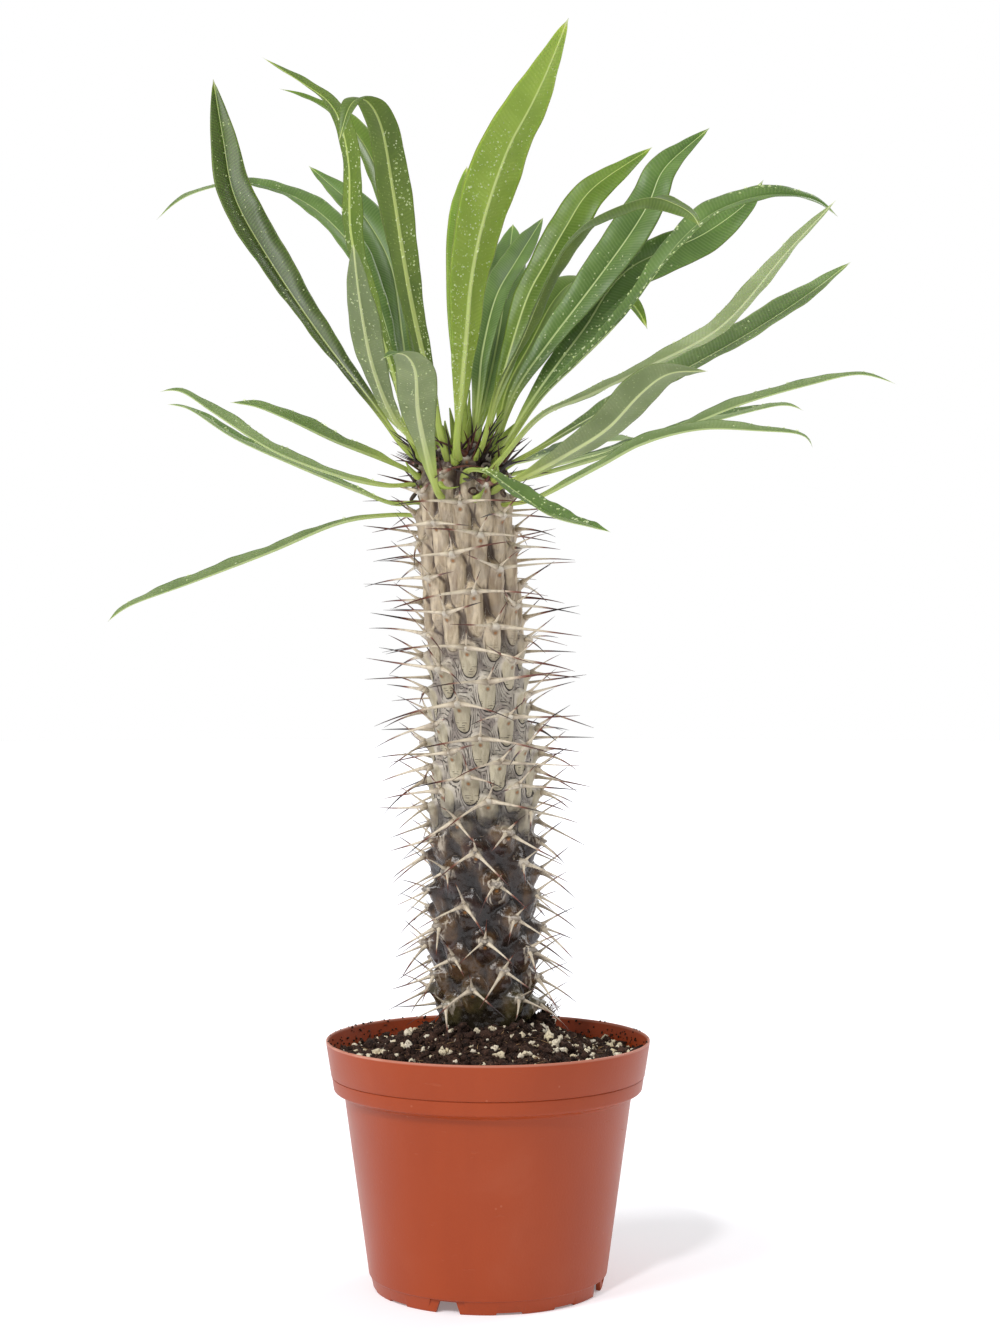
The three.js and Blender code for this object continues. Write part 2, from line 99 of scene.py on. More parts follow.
def bumps(points: np.ndarray, pitch: float, octaves: int = 3, shift: float = 0.0) -> np.ndarray:
    """Fractal noise at points.

    Args:
        points: rows of x, y, z in millimetres.
        pitch: size of the largest bumps, in millimetres.
        octaves: how many finer layers are added.
        shift: moves the pattern, so that two uses differ.

    Returns:
        One value for each point, about -1 to 1.
    """
    rows = (points / pitch + shift).tolist()
    return np.array([noise.fractal(row, 0.9, 2.1, octaves) for row in rows])


# ---------- mesh helpers ----------


def clear_selection() -> None:
    """Leaves edit mode and deselects everything, so that an operator acts on new objects only."""
    if bpy.context.object is not None and bpy.context.object.mode != "OBJECT":
        bpy.ops.object.mode_set(mode="OBJECT")
    bpy.ops.object.select_all(action="DESELECT")


def activate(piece: bpy.types.Object) -> None:
    """Makes piece the only selected object and the active one."""
    clear_selection()
    piece.select_set(True)
    bpy.context.view_layer.objects.active = piece


def discard(piece: bpy.types.Object) -> None:
    """Removes a helper object and its mesh."""
    mesh = piece.data
    bpy.data.objects.remove(piece)
    bpy.data.meshes.remove(mesh)


def new_piece(name: str, mesh: bpy.types.Mesh) -> bpy.types.Object:
    """A new object with that mesh, at the origin."""
    mesh.name = name
    piece = bpy.data.objects.new(name, mesh)
    bpy.context.scene.collection.objects.link(piece)
    return piece


def mesh_of(vertices: np.ndarray, faces: np.ndarray) -> bpy.types.Mesh:
    """A mesh from arrays.

    Args:
        vertices: rows of x, y, z in metres.
        faces: rows of vertex numbers, three or four to a row.

    Returns:
        The mesh, smooth shaded.
    """
    mesh = bpy.data.meshes.new("made")
    mesh.from_pydata(vertices.tolist(), [], faces.tolist())
    mesh.shade_smooth()
    mesh.update()
    return mesh


def coordinates(mesh: bpy.types.Mesh) -> np.ndarray:
    """The mesh's vertices as rows of x, y, z."""
    flat = np.empty(3 * len(mesh.vertices))
    mesh.vertices.foreach_get("co", flat)
    return flat.reshape(-1, 3)


def move_to(mesh: bpy.types.Mesh, vertices: np.ndarray) -> None:
    """Moves the mesh's vertices to new rows of x, y, z."""
    mesh.vertices.foreach_set("co", np.ascontiguousarray(vertices, dtype=np.float32).ravel())
    mesh.update()


def paint(mesh: bpy.types.Mesh, name: str, values: np.ndarray) -> None:
    """Stores one number or one vector for each vertex under a name that materials read."""
    kind, key = ("FLOAT_VECTOR", "vector") if values.ndim == 2 else ("FLOAT", "value")
    store = mesh.attributes.new(name, kind, "POINT")
    store.data.foreach_set(key, np.ascontiguousarray(values, dtype=np.float32).ravel())


def ringed_tube(name: str, sides: int, cuts: Sequence[int]) -> bpy.types.Object:
    """A closed tube of radius 1 and height 1 that stands on the origin, with even rings.

    Args:
        name: the object's name.
        sides: number of columns round the tube.
        cuts: how many rings each pass adds between the rings that are there.

    Returns:
        The tube, with a fan at each end.
    """
    clear_selection()
    bpy.ops.mesh.primitive_cylinder_add(
        vertices=sides, radius=1.0, depth=1.0, end_fill_type="TRIFAN", location=(0, 0, 0.5)
    )
    tube = bpy.context.object
    tube.name = name
    bpy.ops.object.transform_apply(location=True, rotation=True, scale=True)
    bpy.ops.object.mode_set(mode="EDIT")
    bpy.ops.mesh.select_mode(type="EDGE")
    for number in cuts:
        shape = bmesh.from_edit_mesh(tube.data)
        for edge in shape.edges:
            low, high = edge.verts
            edge.select_set(abs(low.co.z - high.co.z) > 1e-5)
        bmesh.update_edit_mesh(tube.data)
        bpy.ops.mesh.subdivide(number_cuts=number)
    bpy.ops.object.mode_set(mode="OBJECT")
    return tube


def repeated_faces(template: bpy.types.Mesh, count: int) -> list[list[int]]:
    """The template's faces for that many copies of it, as rows of vertex numbers."""
    size = len(template.vertices)
    polygons = [face.vertices[:] for face in template.polygons]
    return [[v + n * size for v in face] for n in range(count) for face in polygons]


def closed_piece(name: str, points: np.ndarray, faces: list) -> bpy.types.Object:
    """A smooth piece from points in metres, with its faces turned outwards."""
    mesh = bpy.data.meshes.new(name)
    mesh.from_pydata(points.reshape(-1, 3).tolist(), [], faces)
    piece = new_piece(name, mesh)
    activate(piece)
    bpy.ops.object.mode_set(mode="EDIT")
    bpy.ops.mesh.select_all(action="SELECT")
    bpy.ops.mesh.normals_make_consistent(inside=False)
    bpy.ops.object.mode_set(mode="OBJECT")
    mesh.shade_smooth()
    return piece


def bent_tubes(
    name: str, tube: tuple, routes: tuple, radii: np.ndarray, taper: Callable, bend: tuple
) -> tuple:
    """Makes many tapered tubes, each bent its own way, as one piece.

    Args:
        name: the piece's name.
        tube: number of sides and the cuts along a tube.
        routes: starts in millimetres, unit directions, and lengths.
        radii: each tube's radius in millimetres.
        taper: gives the share of the radius at a share of the length.
        bend: each tube's bend up and sideways at its tip, as shares of its length.

    Returns:
        The piece, and each vertex's share of its tube's length.
    """
    template = ringed_tube(name + "_shape", *tube)
    shape = coordinates(template.data)
    starts, aims, lengths = routes
    share = shape[:, 2]
    thick = radii[:, None] * taper(share)[None]
    level = unit(np.cross(aims, [0.0, 0.0, 1.0]))
    upright = np.cross(level, aims)
    bow = lengths[:, None] * share[None] ** 2
    points = starts[:, None] + (share[None] * lengths[:, None])[..., None] * aims[:, None]
    points += (bend[0][:, None] * bow + shape[None, :, 1] * thick)[..., None] * upright[:, None]
    points += (bend[1][:, None] * bow + shape[None, :, 0] * thick)[..., None] * level[:, None]
    piece = closed_piece(name, points * MM, repeated_faces(template.data, len(starts)))
    discard(template)
    return piece, np.tile(share, len(starts))


def copies(template: bpy.types.Mesh, frames: np.ndarray, places: np.ndarray) -> tuple:
    """One small shape repeated many times, as arrays.

    Args:
        template: the shape.
        frames: for each copy a 3 by 3 table that turns and scales it.
        places: for each copy its x, y, z in metres.

    Returns:
        Vertices, faces and, for each vertex, the number of its copy.
    """
    shape = coordinates(template)
    faces = np.array([face.vertices[:] for face in template.polygons])
    count, size = len(places), len(shape)
    vertices = np.einsum("nij,vj->nvi", frames, shape) + places[:, None, :]
    numbers = faces[None] + (np.arange(count) * size)[:, None, None]
    return vertices.reshape(-1, 3), numbers.reshape(-1, faces.shape[1]), np.repeat(
        np.arange(count), size
    )


def lump(
    random: np.random.Generator, subdivisions: int, roughness: float, pitch: float = 0.9
) -> bpy.types.Mesh:
    """One irregular crumb of about unit radius.

    Args:
        random: where the irregular shape comes from.
        subdivisions: fineness of the round shape that it starts from.
        roughness: how far its surface moves in and out.
        pitch: size of its bumps, as a share of its radius.

    Returns:
        The crumb's mesh.
    """
    clear_selection()
    bpy.ops.mesh.primitive_ico_sphere_add(subdivisions=subdivisions, radius=1.0)
    ball = bpy.context.object
    mesh = ball.data.copy()
    discard(ball)
    points = coordinates(mesh)
    swell = 1.0 + roughness * bumps(points, pitch, 2, random.uniform(0, 50))
    squeeze = random.uniform(0.7, 1.1, 3)
    move_to(mesh, points * swell[:, None] * squeeze)
    mesh.shade_smooth()
    return mesh


def turns(random: np.random.Generator, count: int) -> np.ndarray:
    """Random turns as 3 by 3 tables."""
    angles = random.uniform(0, TURN, (count, 3))
    return np.array([np.array(Euler(row).to_matrix()) for row in angles.tolist()])


def strew(
    name: str, shapes: list, sizes: np.ndarray, places: np.ndarray, shades: np.ndarray,
    random: np.random.Generator,
) -> bpy.types.Object:
    """Joins many small copies of a few shapes into one piece.

    Args:
        name: the piece's name.
        shapes: meshes of about unit radius.
        sizes: each copy's radius in millimetres.
        places: each copy's place in millimetres.
        shades: each copy's shade for the material.
        random: turns the copies.

    Returns:
        The piece.
    """
    kinds = random.integers(0, len(shapes), len(sizes))
    frames = turns(random, len(sizes)) * (sizes * MM)[:, None, None]
    vertices, faces, tones, total = [], [], [], 0
    for kind, shape in enumerate(shapes):
        chosen = kinds == kind
        points, polygons, owner = copies(shape, frames[chosen], places[chosen] * MM)
        vertices.append(points)
        faces.append(polygons + total)
        tones.append(shades[chosen][owner])
        total += len(points)
    mesh = mesh_of(np.vstack(vertices), np.vstack(faces))
    paint(mesh, "shade", np.concatenate(tones))
    for shape in shapes:
        bpy.data.meshes.remove(shape)
    return new_piece(name, mesh)


def hand_over(
    piece: bpy.types.Object, material: bpy.types.Material, slot: str, *nodes: str
) -> None:
    """Gives a finished piece its material and its place in the frame.

    Args:
        piece: the finished piece, at the origin.
        material: its finish.
        slot: a material slot name; not used.
        nodes: the CAD nodes that it stands for.
    """
    piece.data.materials.clear()
    piece.data.materials.append(material)
    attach(piece, "root")
    if nodes:
        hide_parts(*nodes)
    LOG.info("%s: %d faces", piece.name, len(piece.data.polygons))


# ---------- shader helpers ----------


class Wire:
    """A value in a node tree. Sums on wires add Math nodes to the tree."""

    def __init__(self, graph: Graph, socket: bpy.types.NodeSocket) -> None:
        """Wraps the output of a node."""
        self.graph = graph
        self.socket = socket

    def __add__(self, other: object) -> Wire:
        """This plus the other."""
        return self.graph.math("ADD", self, other)

    def __radd__(self, other: float) -> Wire:
        """The other plus this."""
        return self.graph.math("ADD", other, self)

    def __sub__(self, other: object) -> Wire:
        """This minus the other."""
        return self.graph.math("SUBTRACT", self, other)

    def __rsub__(self, other: float) -> Wire:
        """The other minus this."""
        return self.graph.math("SUBTRACT", other, self)

    def __mul__(self, other: object) -> Wire:
        """This times the other."""
        return self.graph.math("MULTIPLY", self, other)


class Graph:
    """Adds nodes to one node tree and links them."""

    def __init__(self, tree: bpy.types.NodeTree) -> None:
        """Works on that tree."""
        self.tree = tree

    def put(self, value: object, socket: bpy.types.NodeSocket) -> None:
        """Links a wire into a socket, or sets the socket to a constant."""
        if isinstance(value, Wire):
            self.tree.links.new(value.socket, socket)
        else:
            socket.default_value = value

    def node(self, kind: str, inputs: dict, **settings: object) -> bpy.types.Node:
        """Adds a node.

        Args:
            kind: its Blender type without the word ShaderNode.
            inputs: what goes into its sockets, by name or number.
            settings: its properties.

        Returns:
            The node.
        """
        made = self.tree.nodes.new("ShaderNode" + kind)
        for key, value in settings.items():
            setattr(made, key, value)
        for key, value in inputs.items():
            self.put(value, made.inputs[key])
        return made

    def wire(self, kind: str, inputs: dict, output: object = 0, **settings: object) -> Wire:
        """Adds a node and gives one of its outputs."""
        return Wire(self, self.node(kind, inputs, **settings).outputs[output])

    def math(self, operation: str, *values: object) -> Wire:
        """One sum on numbers."""
        return self.wire("Math", dict(enumerate(values)), operation=operation)

    def blend(self, share: object, start: object, end: object) -> Wire:
        """Two colours mixed, with share 0 for start and 1 for end."""
        inputs = {0: share, 6: start, 7: end}
        return self.wire("Mix", inputs, 2, data_type="RGBA", clamp_factor=True)

    def coats(self, colour: object, *coats: tuple) -> Wire:
        """Colours laid over a first colour in turn, each given as its share and itself."""
        for share, coat in coats:
            colour = self.blend(share, colour, coat)
        return colour

    def step(
        self, value: object, low: object, high: object, start: float = 0.0, end: float = 1.0
    ) -> Wire:
        """A smooth step: start at low and below, end at high and above."""
        inputs = {"Value": value, "From Min": low, "From Max": high, "To Min": start, "To Max": end}
        return self.wire("MapRange", inputs, interpolation_type="SMOOTHSTEP")

    def grain(self, where: object, scale: object, detail: float = 2.0, wander: float = 0.0) -> Wire:
        """Noise of that many bumps to a unit."""
        inputs = {"Vector": where, "Scale": scale, "Detail": detail, "Distortion": wander}
        return self.wire("TexNoise", inputs, "Fac")

    def stretched(self, where: Wire, scale: tuple) -> Wire:
        """Coordinates scaled along each axis."""
        return self.wire("Mapping", {"Vector": where, "Scale": scale})

    def split(self, vector: Wire) -> list[Wire]:
        """The three numbers of a vector."""
        return [Wire(self, part) for part in self.node("SeparateXYZ", {0: vector}).outputs]

    def value(self, name: str) -> Wire:
        """A number that the mesh stores for each vertex."""
        return self.wire("Attribute", {}, "Fac", attribute_name=name)

    def parts(self, name: str) -> list[Wire]:
        """The three numbers of a vector that the mesh stores for each vertex."""
        return self.split(self.wire("Attribute", {}, "Vector", attribute_name=name))


class EffectGroup(Graph):
    """A node group that several materials use: a vector and numbers go in, one mask comes out."""

    def __init__(self, name: str, *numbers: str) -> None:
        """Starts the group, with those names for its numbers."""
        super().__init__(bpy.data.node_groups.new(name, "ShaderNodeTree"))
        kinds = {"Vector": "NodeSocketVector", **dict.fromkeys(numbers, "NodeSocketFloat")}
        for key, kind in kinds.items():
            self.tree.interface.new_socket(key, in_out="INPUT", socket_type=kind)
        self.tree.interface.new_socket("Mask", in_out="OUTPUT", socket_type="NodeSocketFloat")
        entry = self.tree.nodes.new("NodeGroupInput")
        self.entry = [Wire(self, entry.outputs[key]) for key in kinds]

    def finish(self, mask: Wire) -> bpy.types.NodeTree:
        """Links the mask to the group's output and returns the group."""
        self.put(mask, self.tree.nodes.new("NodeGroupOutput").inputs["Mask"])
        return self.tree


class Effects:
    """The shared effects, each built once."""

    def __init__(self) -> None:
        """Builds the groups."""
        self.mottle = self.build_mottle()
        self.specks = self.build_specks()

    def build_mottle(self) -> bpy.types.NodeTree:
        """Soft blotches between 0 and 1, with edges as sharp as Low and High are close."""
        group = EffectGroup("mottle", "Scale", "Low", "High")
        where, scale, low, high = group.entry
        return group.finish(group.step(group.grain(where, scale, 5.0, 0.4), low, high))

    def build_specks(self) -> bpy.types.NodeTree:
        """Small separate dots, of that many to a unit; Size is each dot's share of its cell."""
        group = EffectGroup("specks", "Scale", "Size")
        where, scale, size = group.entry
        cells = group.wire("TexVoronoi", {"Vector": where, "Scale": scale}, "Distance")
        some = group.step(group.grain(where, scale), 0.45, 0.6)
        return group.finish(group.step(cells, size, size * 0.6) * some)


class Surface(Graph):
    """The node tree of one material, around its Principled shader."""

    def __init__(self, name: str, effects: Effects | None = None, **constants: object) -> None:
        """Starts the material.

        Args:
            name: the material's name.
            effects: the shared effects.
            constants: values for the shader's sockets, with _ for a space in the socket's name.
        """
        self.material = bpy.data.materials.new(name)
        self.material.use_nodes = True
        super().__init__(self.material.node_tree)
        self.shader = self.tree.nodes["Principled BSDF"]
        self.effects = effects
        for key, value in constants.items():
            self.shader.inputs[key.replace("_", " ")].default_value = value

    def place(self) -> Wire:
        """The point on the object, in metres."""
        return self.wire("TexCoord", {}, "Object")

    def mottle(self, where: Wire, scale: float, low: float, high: float) -> Wire:
        """Soft blotches between 0 and 1."""
        inputs = {"Vector": where, "Scale": scale, "Low": low, "High": high}
        return self.group(self.effects.mottle, inputs)

    def specks(self, where: Wire, scale: float, size: float) -> Wire:
        """Small separate dots."""
        return self.group(self.effects.specks, {"Vector": where, "Scale": scale, "Size": size})

    def group(self, tree: bpy.types.NodeTree, inputs: dict) -> Wire:
        """The mask of a shared effect."""
        made = self.node("Group", {}, node_tree=tree)
        for key, value in inputs.items():
            self.put(value, made.inputs[key])
        return Wire(self, made.outputs[0])

    def colour(self, value: Wire) -> None:
        """Sets the base colour."""
        self.put(value, self.shader.inputs["Base Color"])

    def rough(self, value: Wire) -> None:
        """Sets the roughness."""
        self.put(value, self.shader.inputs["Roughness"])

    def emboss(self, height: Wire, depth: float) -> None:
        """Feeds a height into the normal; depth is in metres for a height of 1."""
        bump = self.wire("Bump", {"Height": height, "Distance": depth})
        self.put(bump, self.shader.inputs["Normal"])


# ---------- finishes ----------


@dataclass(frozen=True)
class PotPlastic:
    """Satin moulded plastic in terracotta, with faint flow streaks, dust, scuffs and a painted
    highlight along the lip.
    """

    plain: Colour = srgb(154, 61, 20)
    deep: Colour = srgb(149, 58, 19)
    dusty: Colour = srgb(178, 104, 76)
    # Painted highlight: pale colour for the lip's edge where it catches the light.
    painted_highlight: Colour = srgb(212, 158, 138)
    streaks: tuple = (40.0, 40.0, 9.0)
    scratches: tuple = (90.0, 90.0, 400.0)
    lip: tuple = (0.1279, 0.1287)

    def build(self, effects: Effects) -> bpy.types.Material:
        """Makes the material."""
        skin = Surface("pot_plastic", effects, Specular_IOR_Level=0.3)
        place = skin.place()
        cloud = skin.mottle(skin.stretched(place, self.streaks), 1.0, 0.3, 0.75)
        patch = skin.mottle(place, 22.0, 0.5, 0.85)
        speck = skin.specks(place, 90.0, 0.07)
        scuff = skin.mottle(skin.stretched(place, self.scratches), 1.0, 0.68, 0.74)
        # Painted highlight: the top of the lip turns pale, as where the light catches its edge.
        lip = skin.step(skin.split(place)[2], *self.lip) * skin.step(patch, 0.0, 0.5, 0.35, 0.75)
        skin.colour(skin.coats(
            self.deep, (cloud, self.plain), (patch * 0.16, self.dusty), (scuff * 0.12, self.dusty),
            (speck * 0.35, self.dusty), (lip, self.painted_highlight),
        ))
        skin.rough(0.38 + patch * 0.12 + scuff * 0.1)
        skin.emboss(skin.grain(place, 900.0) + cloud * 0.1 - scuff, 0.00006)
        return skin.material


@dataclass(frozen=True)
class Peat:
    """Dark crumbly peat; each crumb stores its own shade."""

    black: Colour = srgb(22, 14, 11)
    brown: Colour = srgb(84, 59, 48)
    tan: Colour = srgb(156, 118, 94)

    def build(self, effects: Effects) -> bpy.types.Material:
        """Makes the material."""
        skin = Surface("peat", effects, Roughness=0.95, Specular_IOR_Level=0.25)
        place = skin.place()
        tone = skin.value("shade") * 0.7 + skin.mottle(place, 420.0, 0.35, 0.7) * 0.4
        dry = skin.mottle(place, 1100.0, 0.56, 0.7)
        skin.colour(skin.coats(self.black, (tone, self.brown), (dry * 0.4, self.tan)))
        skin.emboss(skin.grain(place, 1700.0, 4.0), 0.0012)
        return skin.material


@dataclass(frozen=True)
class ExpandedPerlite:
    """White foamed mineral with small pits, stained a little by the peat."""

    white: Colour = srgb(238, 228, 208)
    cream: Colour = srgb(212, 196, 158)
    stain: Colour = srgb(112, 90, 70)

    def build(self, effects: Effects) -> bpy.types.Material:
        """Makes the material."""
        skin = Surface("perlite", effects, Roughness=0.85)
        place = skin.place()
        pits = skin.specks(place, 1600.0, 0.35)
        dirt = skin.mottle(place, 520.0, 0.56, 0.72)
        skin.colour(skin.coats(
            self.white, (skin.value("shade"), self.cream), (dirt * 0.75, self.stain),
            (pits * 0.5, self.stain),
        ))
        skin.emboss(skin.grain(place, 1300.0, 3.0) - pits, 0.0005)
        return skin.material


@dataclass(frozen=True)
class PeatFibre:
    """Root hairs, straw and bark strands; each stores its own shade."""

    dark: Colour = srgb(46, 32, 24)
    straw: Colour = srgb(172, 136, 92)

    def build(self, effects: Effects) -> bpy.types.Material:
        """Makes the material."""
        skin = Surface("peat_fibre", effects, Roughness=0.8)
        place = skin.place()
        tone = skin.value("shade") + skin.mottle(place, 700.0, 0.3, 0.8) * 0.25
        skin.colour(skin.blend(tone, self.dark, self.straw))
        skin.emboss(skin.grain(place, 2500.0), 0.0002)
        return skin.material


@dataclass(frozen=True)
class TrunkBark:
    """Succulent bark: pale ribs on top, outlined shields in the middle, dark gloss at the foot,
    with painted shade in its grooves and painted highlights low down.

    The mesh stores `panel`, the distance in millimetres outside the shield below the nearest
    areole, `seam`, how far the next shield is, `swell`, how far the skin stands out, and `spot`,
    the place relative to the nearest areole with a seed.
    """

    rib: Colour = srgb(202, 185, 158)
    rib_shade: Colour = srgb(144, 124, 98)
    rib_stain: Colour = srgb(122, 100, 76)
    # Painted shade colour for the grooves between ribs, the hollows between shields and the crown's
    # hollows.
    valley_shade: Colour = srgb(66, 50, 42)
    shield: Colour = srgb(192, 183, 158)
    shield_shade: Colour = srgb(156, 145, 120)
    wrinkled: Colour = srgb(198, 190, 176)
    ashen: Colour = srgb(152, 142, 134)
    crack: Colour = srgb(34, 27, 27)
    foot: Colour = srgb(40, 26, 18)
    foot_violet: Colour = srgb(60, 42, 41)
    foot_brown: Colour = srgb(92, 68, 44)
    foot_olive: Colour = srgb(74, 68, 42)
    # Painted shade colour for the valleys at the foot.
    foot_valley_shade: Colour = srgb(20, 14, 12)
    # Painted highlight colour: silver gloss on the nubs and in streaks at the foot.
    silver: Colour = srgb(194, 182, 164)
    scar: Colour = srgb(148, 98, 50)
    ring: Colour = srgb(112, 86, 60)
    dark_zone: tuple = (0.262, 0.236)
    rib_zone: tuple = (0.315, 0.352)
    green_zone: tuple = (0.165, 0.140)
    crown_zone: tuple = (0.41, 0.43)
    scar_below: float = 3.7
    flow: tuple = (1.0, 1.0, 0.22)
    foot_flow: tuple = (1.0, 1.0, 0.24)

    def build(self, effects: Effects) -> bpy.types.Material:
        """Makes the material."""
        skin = Surface("trunk_bark", effects, Specular_IOR_Level=0.5)
        place = skin.place()
        panel, swell = skin.value("panel"), skin.value("swell")
        side, rise, seed = skin.parts("spot")
        wobble = skin.grain(place, 90.0, 3.0) - 0.5
        height = skin.split(place)[2] + wobble * 0.045
        dark = skin.step(height, *self.dark_zone)
        ribs = skin.step(height, *self.rib_zone)
        lines, cracks = self.wrinkles(skin, place, panel, skin.value("seam"), rise)
        flow = skin.stretched(place, self.flow)
        streak = skin.mottle(flow, 420.0, 0.42, 0.68)
        blotch = skin.mottle(place, 150.0, 0.42, 0.62)
        fine = skin.mottle(place, 800.0, 0.4, 0.7)
        rough = skin.grain(flow, 300.0, 3.0) - 0.5
        level = swell + wobble * 0.4 + rough * 0.4

        shield = skin.coats(
            self.shield, (streak * 0.6, self.shield_shade), (seed * 0.5, self.shield_shade)
        )
        # Painted shade darkens the low parts between the shields.
        middle = skin.coats(
            skin.blend(blotch, self.wrinkled, self.ashen), (skin.step(panel, 0.5, -0.6), shield),
            (skin.step(level, 0.36, 0.02) * 0.25, self.valley_shade), (lines * 0.75, self.crack),
            (cracks, self.crack),
        )
        seam = skin.value("seam") + rough * 0.3
        # Painted shade: the gaps between the ribs and the low parts of the skin on top take the
        # shade colour.
        groove = skin.step(seam, 0.26, 0.04) * skin.step(panel, -0.5, 1.0)
        groove = skin.math("MAXIMUM", groove, skin.step(level, 0.42, 0.12))
        top = skin.coats(
            self.rib, (streak * 0.75, self.rib_shade),
            (skin.mottle(flow, 170.0, 0.46, 0.66) * 0.6, self.rib_stain),
            (blotch * 0.3, self.ashen), (groove * 0.88, self.valley_shade),
        )
        low = self.foot_colour(skin, place, height, level, fine)
        # The crown top is darker: partly its own dark brown, partly painted shade that is deepest
        # in its hollows.
        crown = skin.step(height, *self.crown_zone) * skin.step(level, 1.1, 0.3, 0.3, 0.95)
        knuckle = skin.step(self.away(skin, side, rise, 0.7, 0.0), 2.8, 1.2, 0.0, 0.85)
        spot = self.away(skin, side, rise, 1.0, self.scar_below)
        skin.colour(skin.coats(
            middle, (ribs, top), (dark, low), (crown, self.valley_shade),
            (knuckle * (1.0 - dark * 0.6), self.wrinkled),
            (skin.step(spot, 1.6, 0.9, 0.0, 0.55), self.ring),
            (skin.step(spot, 0.9, 0.5, 0.0, 0.85), self.scar),
        ))
        skin.rough(0.48 - dark * (0.26 - fine * 0.08))
        marks = (1.0 - ribs) * (lines + cracks) * (1.0 - dark)
        relief = skin.grain(place, 1100.0, 3.0) * 0.4 + skin.grain(flow, 420.0, 3.0) * 1.2 - marks
        skin.emboss(relief * (1.0 - dark * 0.55), 0.0007)
        return skin.material

    def foot_colour(
        self, skin: Surface, place: Wire, height: Wire, level: Wire, fine: Wire
    ) -> Wire:
        """The dark skin near the soil, with painted highlights in silver on the nubs and in streaky
        patches, and painted shade in its valleys.
        """
        cloud = skin.step(skin.grain(place, 60.0, 2.0), 0.44, 0.62)
        bruise = skin.step(skin.grain(place, 45.0, 2.0, 0.5), 0.5, 0.62)
        flow = skin.stretched(place, self.foot_flow)
        # Painted highlights: a vertical streak pattern, patches on raised parts and the nub tops
        # take the silver colour.
        painted_highlight = skin.step(skin.grain(flow, 340.0, 3.0, 0.5), 0.5, 0.6)
        patch = skin.step(
            skin.grain(place, 70.0, 2.0), 0.54, 0.62
        ) * skin.step(level, 0.3, 0.7, 0.0, 0.8)
        highlight_mask = skin.math("MAXIMUM", skin.step(level, 0.8, 1.2), patch) * painted_highlight
        # Painted shade darkens the valleys, and the painted highlights go over it.
        return skin.coats(
            self.foot, (cloud * 0.8, self.foot_brown), (bruise * 0.7, self.foot_violet),
            (fine * 0.25, self.foot),
            (skin.step(height, *self.green_zone), self.foot_olive),
            (skin.step(level, 0.5, 0.05, 0.0, 0.9), self.foot_valley_shade), (highlight_mask * 0.85, self.silver),
        )

    def away(self, skin: Surface, side: Wire, rise: Wire, narrow: float, below: float) -> Wire:
        """Distance in millimetres from a point that far below the areole."""
        squares = skin.math("POWER", side * narrow, 2.0) + skin.math("POWER", rise + below, 2.0)
        return skin.math("SQRT", squares)

    def wrinkles(
        self, skin: Surface, place: Wire, panel: Wire, seam: Wire, rise: Wire
    ) -> tuple[Wire, Wire]:
        """The fine lines round the shields and the cracks between them.

        Returns:
            A mask of the fine lines and a mask of the cracks.
        """
        bend = skin.grain(place, 260.0, 3.0) - 0.5
        level = panel + bend * 1.6
        outside = skin.step(panel, 0.7, 1.4)
        broken = skin.step(skin.grain(place, 330.0, 2.0), 0.36, 0.56)
        lines = skin.step(skin.math("PINGPONG", level, 0.75), 0.24, 0.04) * (outside * broken)
        low = skin.step(rise, -8.0, -11.0) * skin.step(panel, -0.2, -1.0)
        short = skin.step(skin.grain(place, 480.0, 1.0), 0.5, 0.58)
        dashes = skin.step(
            skin.math("PINGPONG", rise + bend * 1.2, 0.62), 0.2, 0.04
        ) * (low * short)
        rim = skin.math("ABSOLUTE", level + 0.1)
        outline = skin.step(rim, 0.42, 0.12) * skin.step(rise, -4.0, -8.0)
        split = skin.step(seam + bend * 0.25, 0.07, 0.02)
        return skin.math("MAXIMUM", lines, dashes), skin.math("MAXIMUM", outline, split * 0.8)


@dataclass(frozen=True)
class SpineHorn:
    """Hard smooth spine, ivory at its foot and red-brown to black at its tip.

    The mesh stores `reach`, a vector of the share of the length, where the dark part starts and a
    seed.
    """

    ivory: Colour = srgb(208, 195, 172)
    grey: Colour = srgb(156, 142, 126)
    red: Colour = srgb(122, 58, 38)
    black: Colour = srgb(36, 22, 22)

    def build(self, effects: Effects) -> bpy.types.Material:
        """Makes the material."""
        skin = Surface("spine_horn", effects, Roughness=0.42, Specular_IOR_Level=0.5)
        place = skin.place()
        reach, dark_from, seed = skin.parts("reach")
        past = reach - dark_from
        ink = skin.step(past, 0.08, 0.34) * skin.step(seed, 0.1, 0.6, 0.55, 1.0)
        skin.colour(skin.coats(
            self.ivory, (skin.mottle(place, 300.0, 0.4, 0.75) * 0.7, self.grey),
            (skin.step(reach, 0.14, 0.0, 0.0, 0.7), self.grey),
            (skin.step(past, 0.0, 0.2), self.red),
            (ink, self.black),
        ))
        skin.emboss(skin.grain(place, 2200.0), 0.00012)
        return skin.material


@dataclass(frozen=True)
class LeafTint:
    """Colours of one kind of leaf, from 0 to 255, and how much light goes through it."""

    upper: tuple
    upper_deep: tuple
    under: tuple
    under_deep: tuple
    rib: tuple
    glow: float


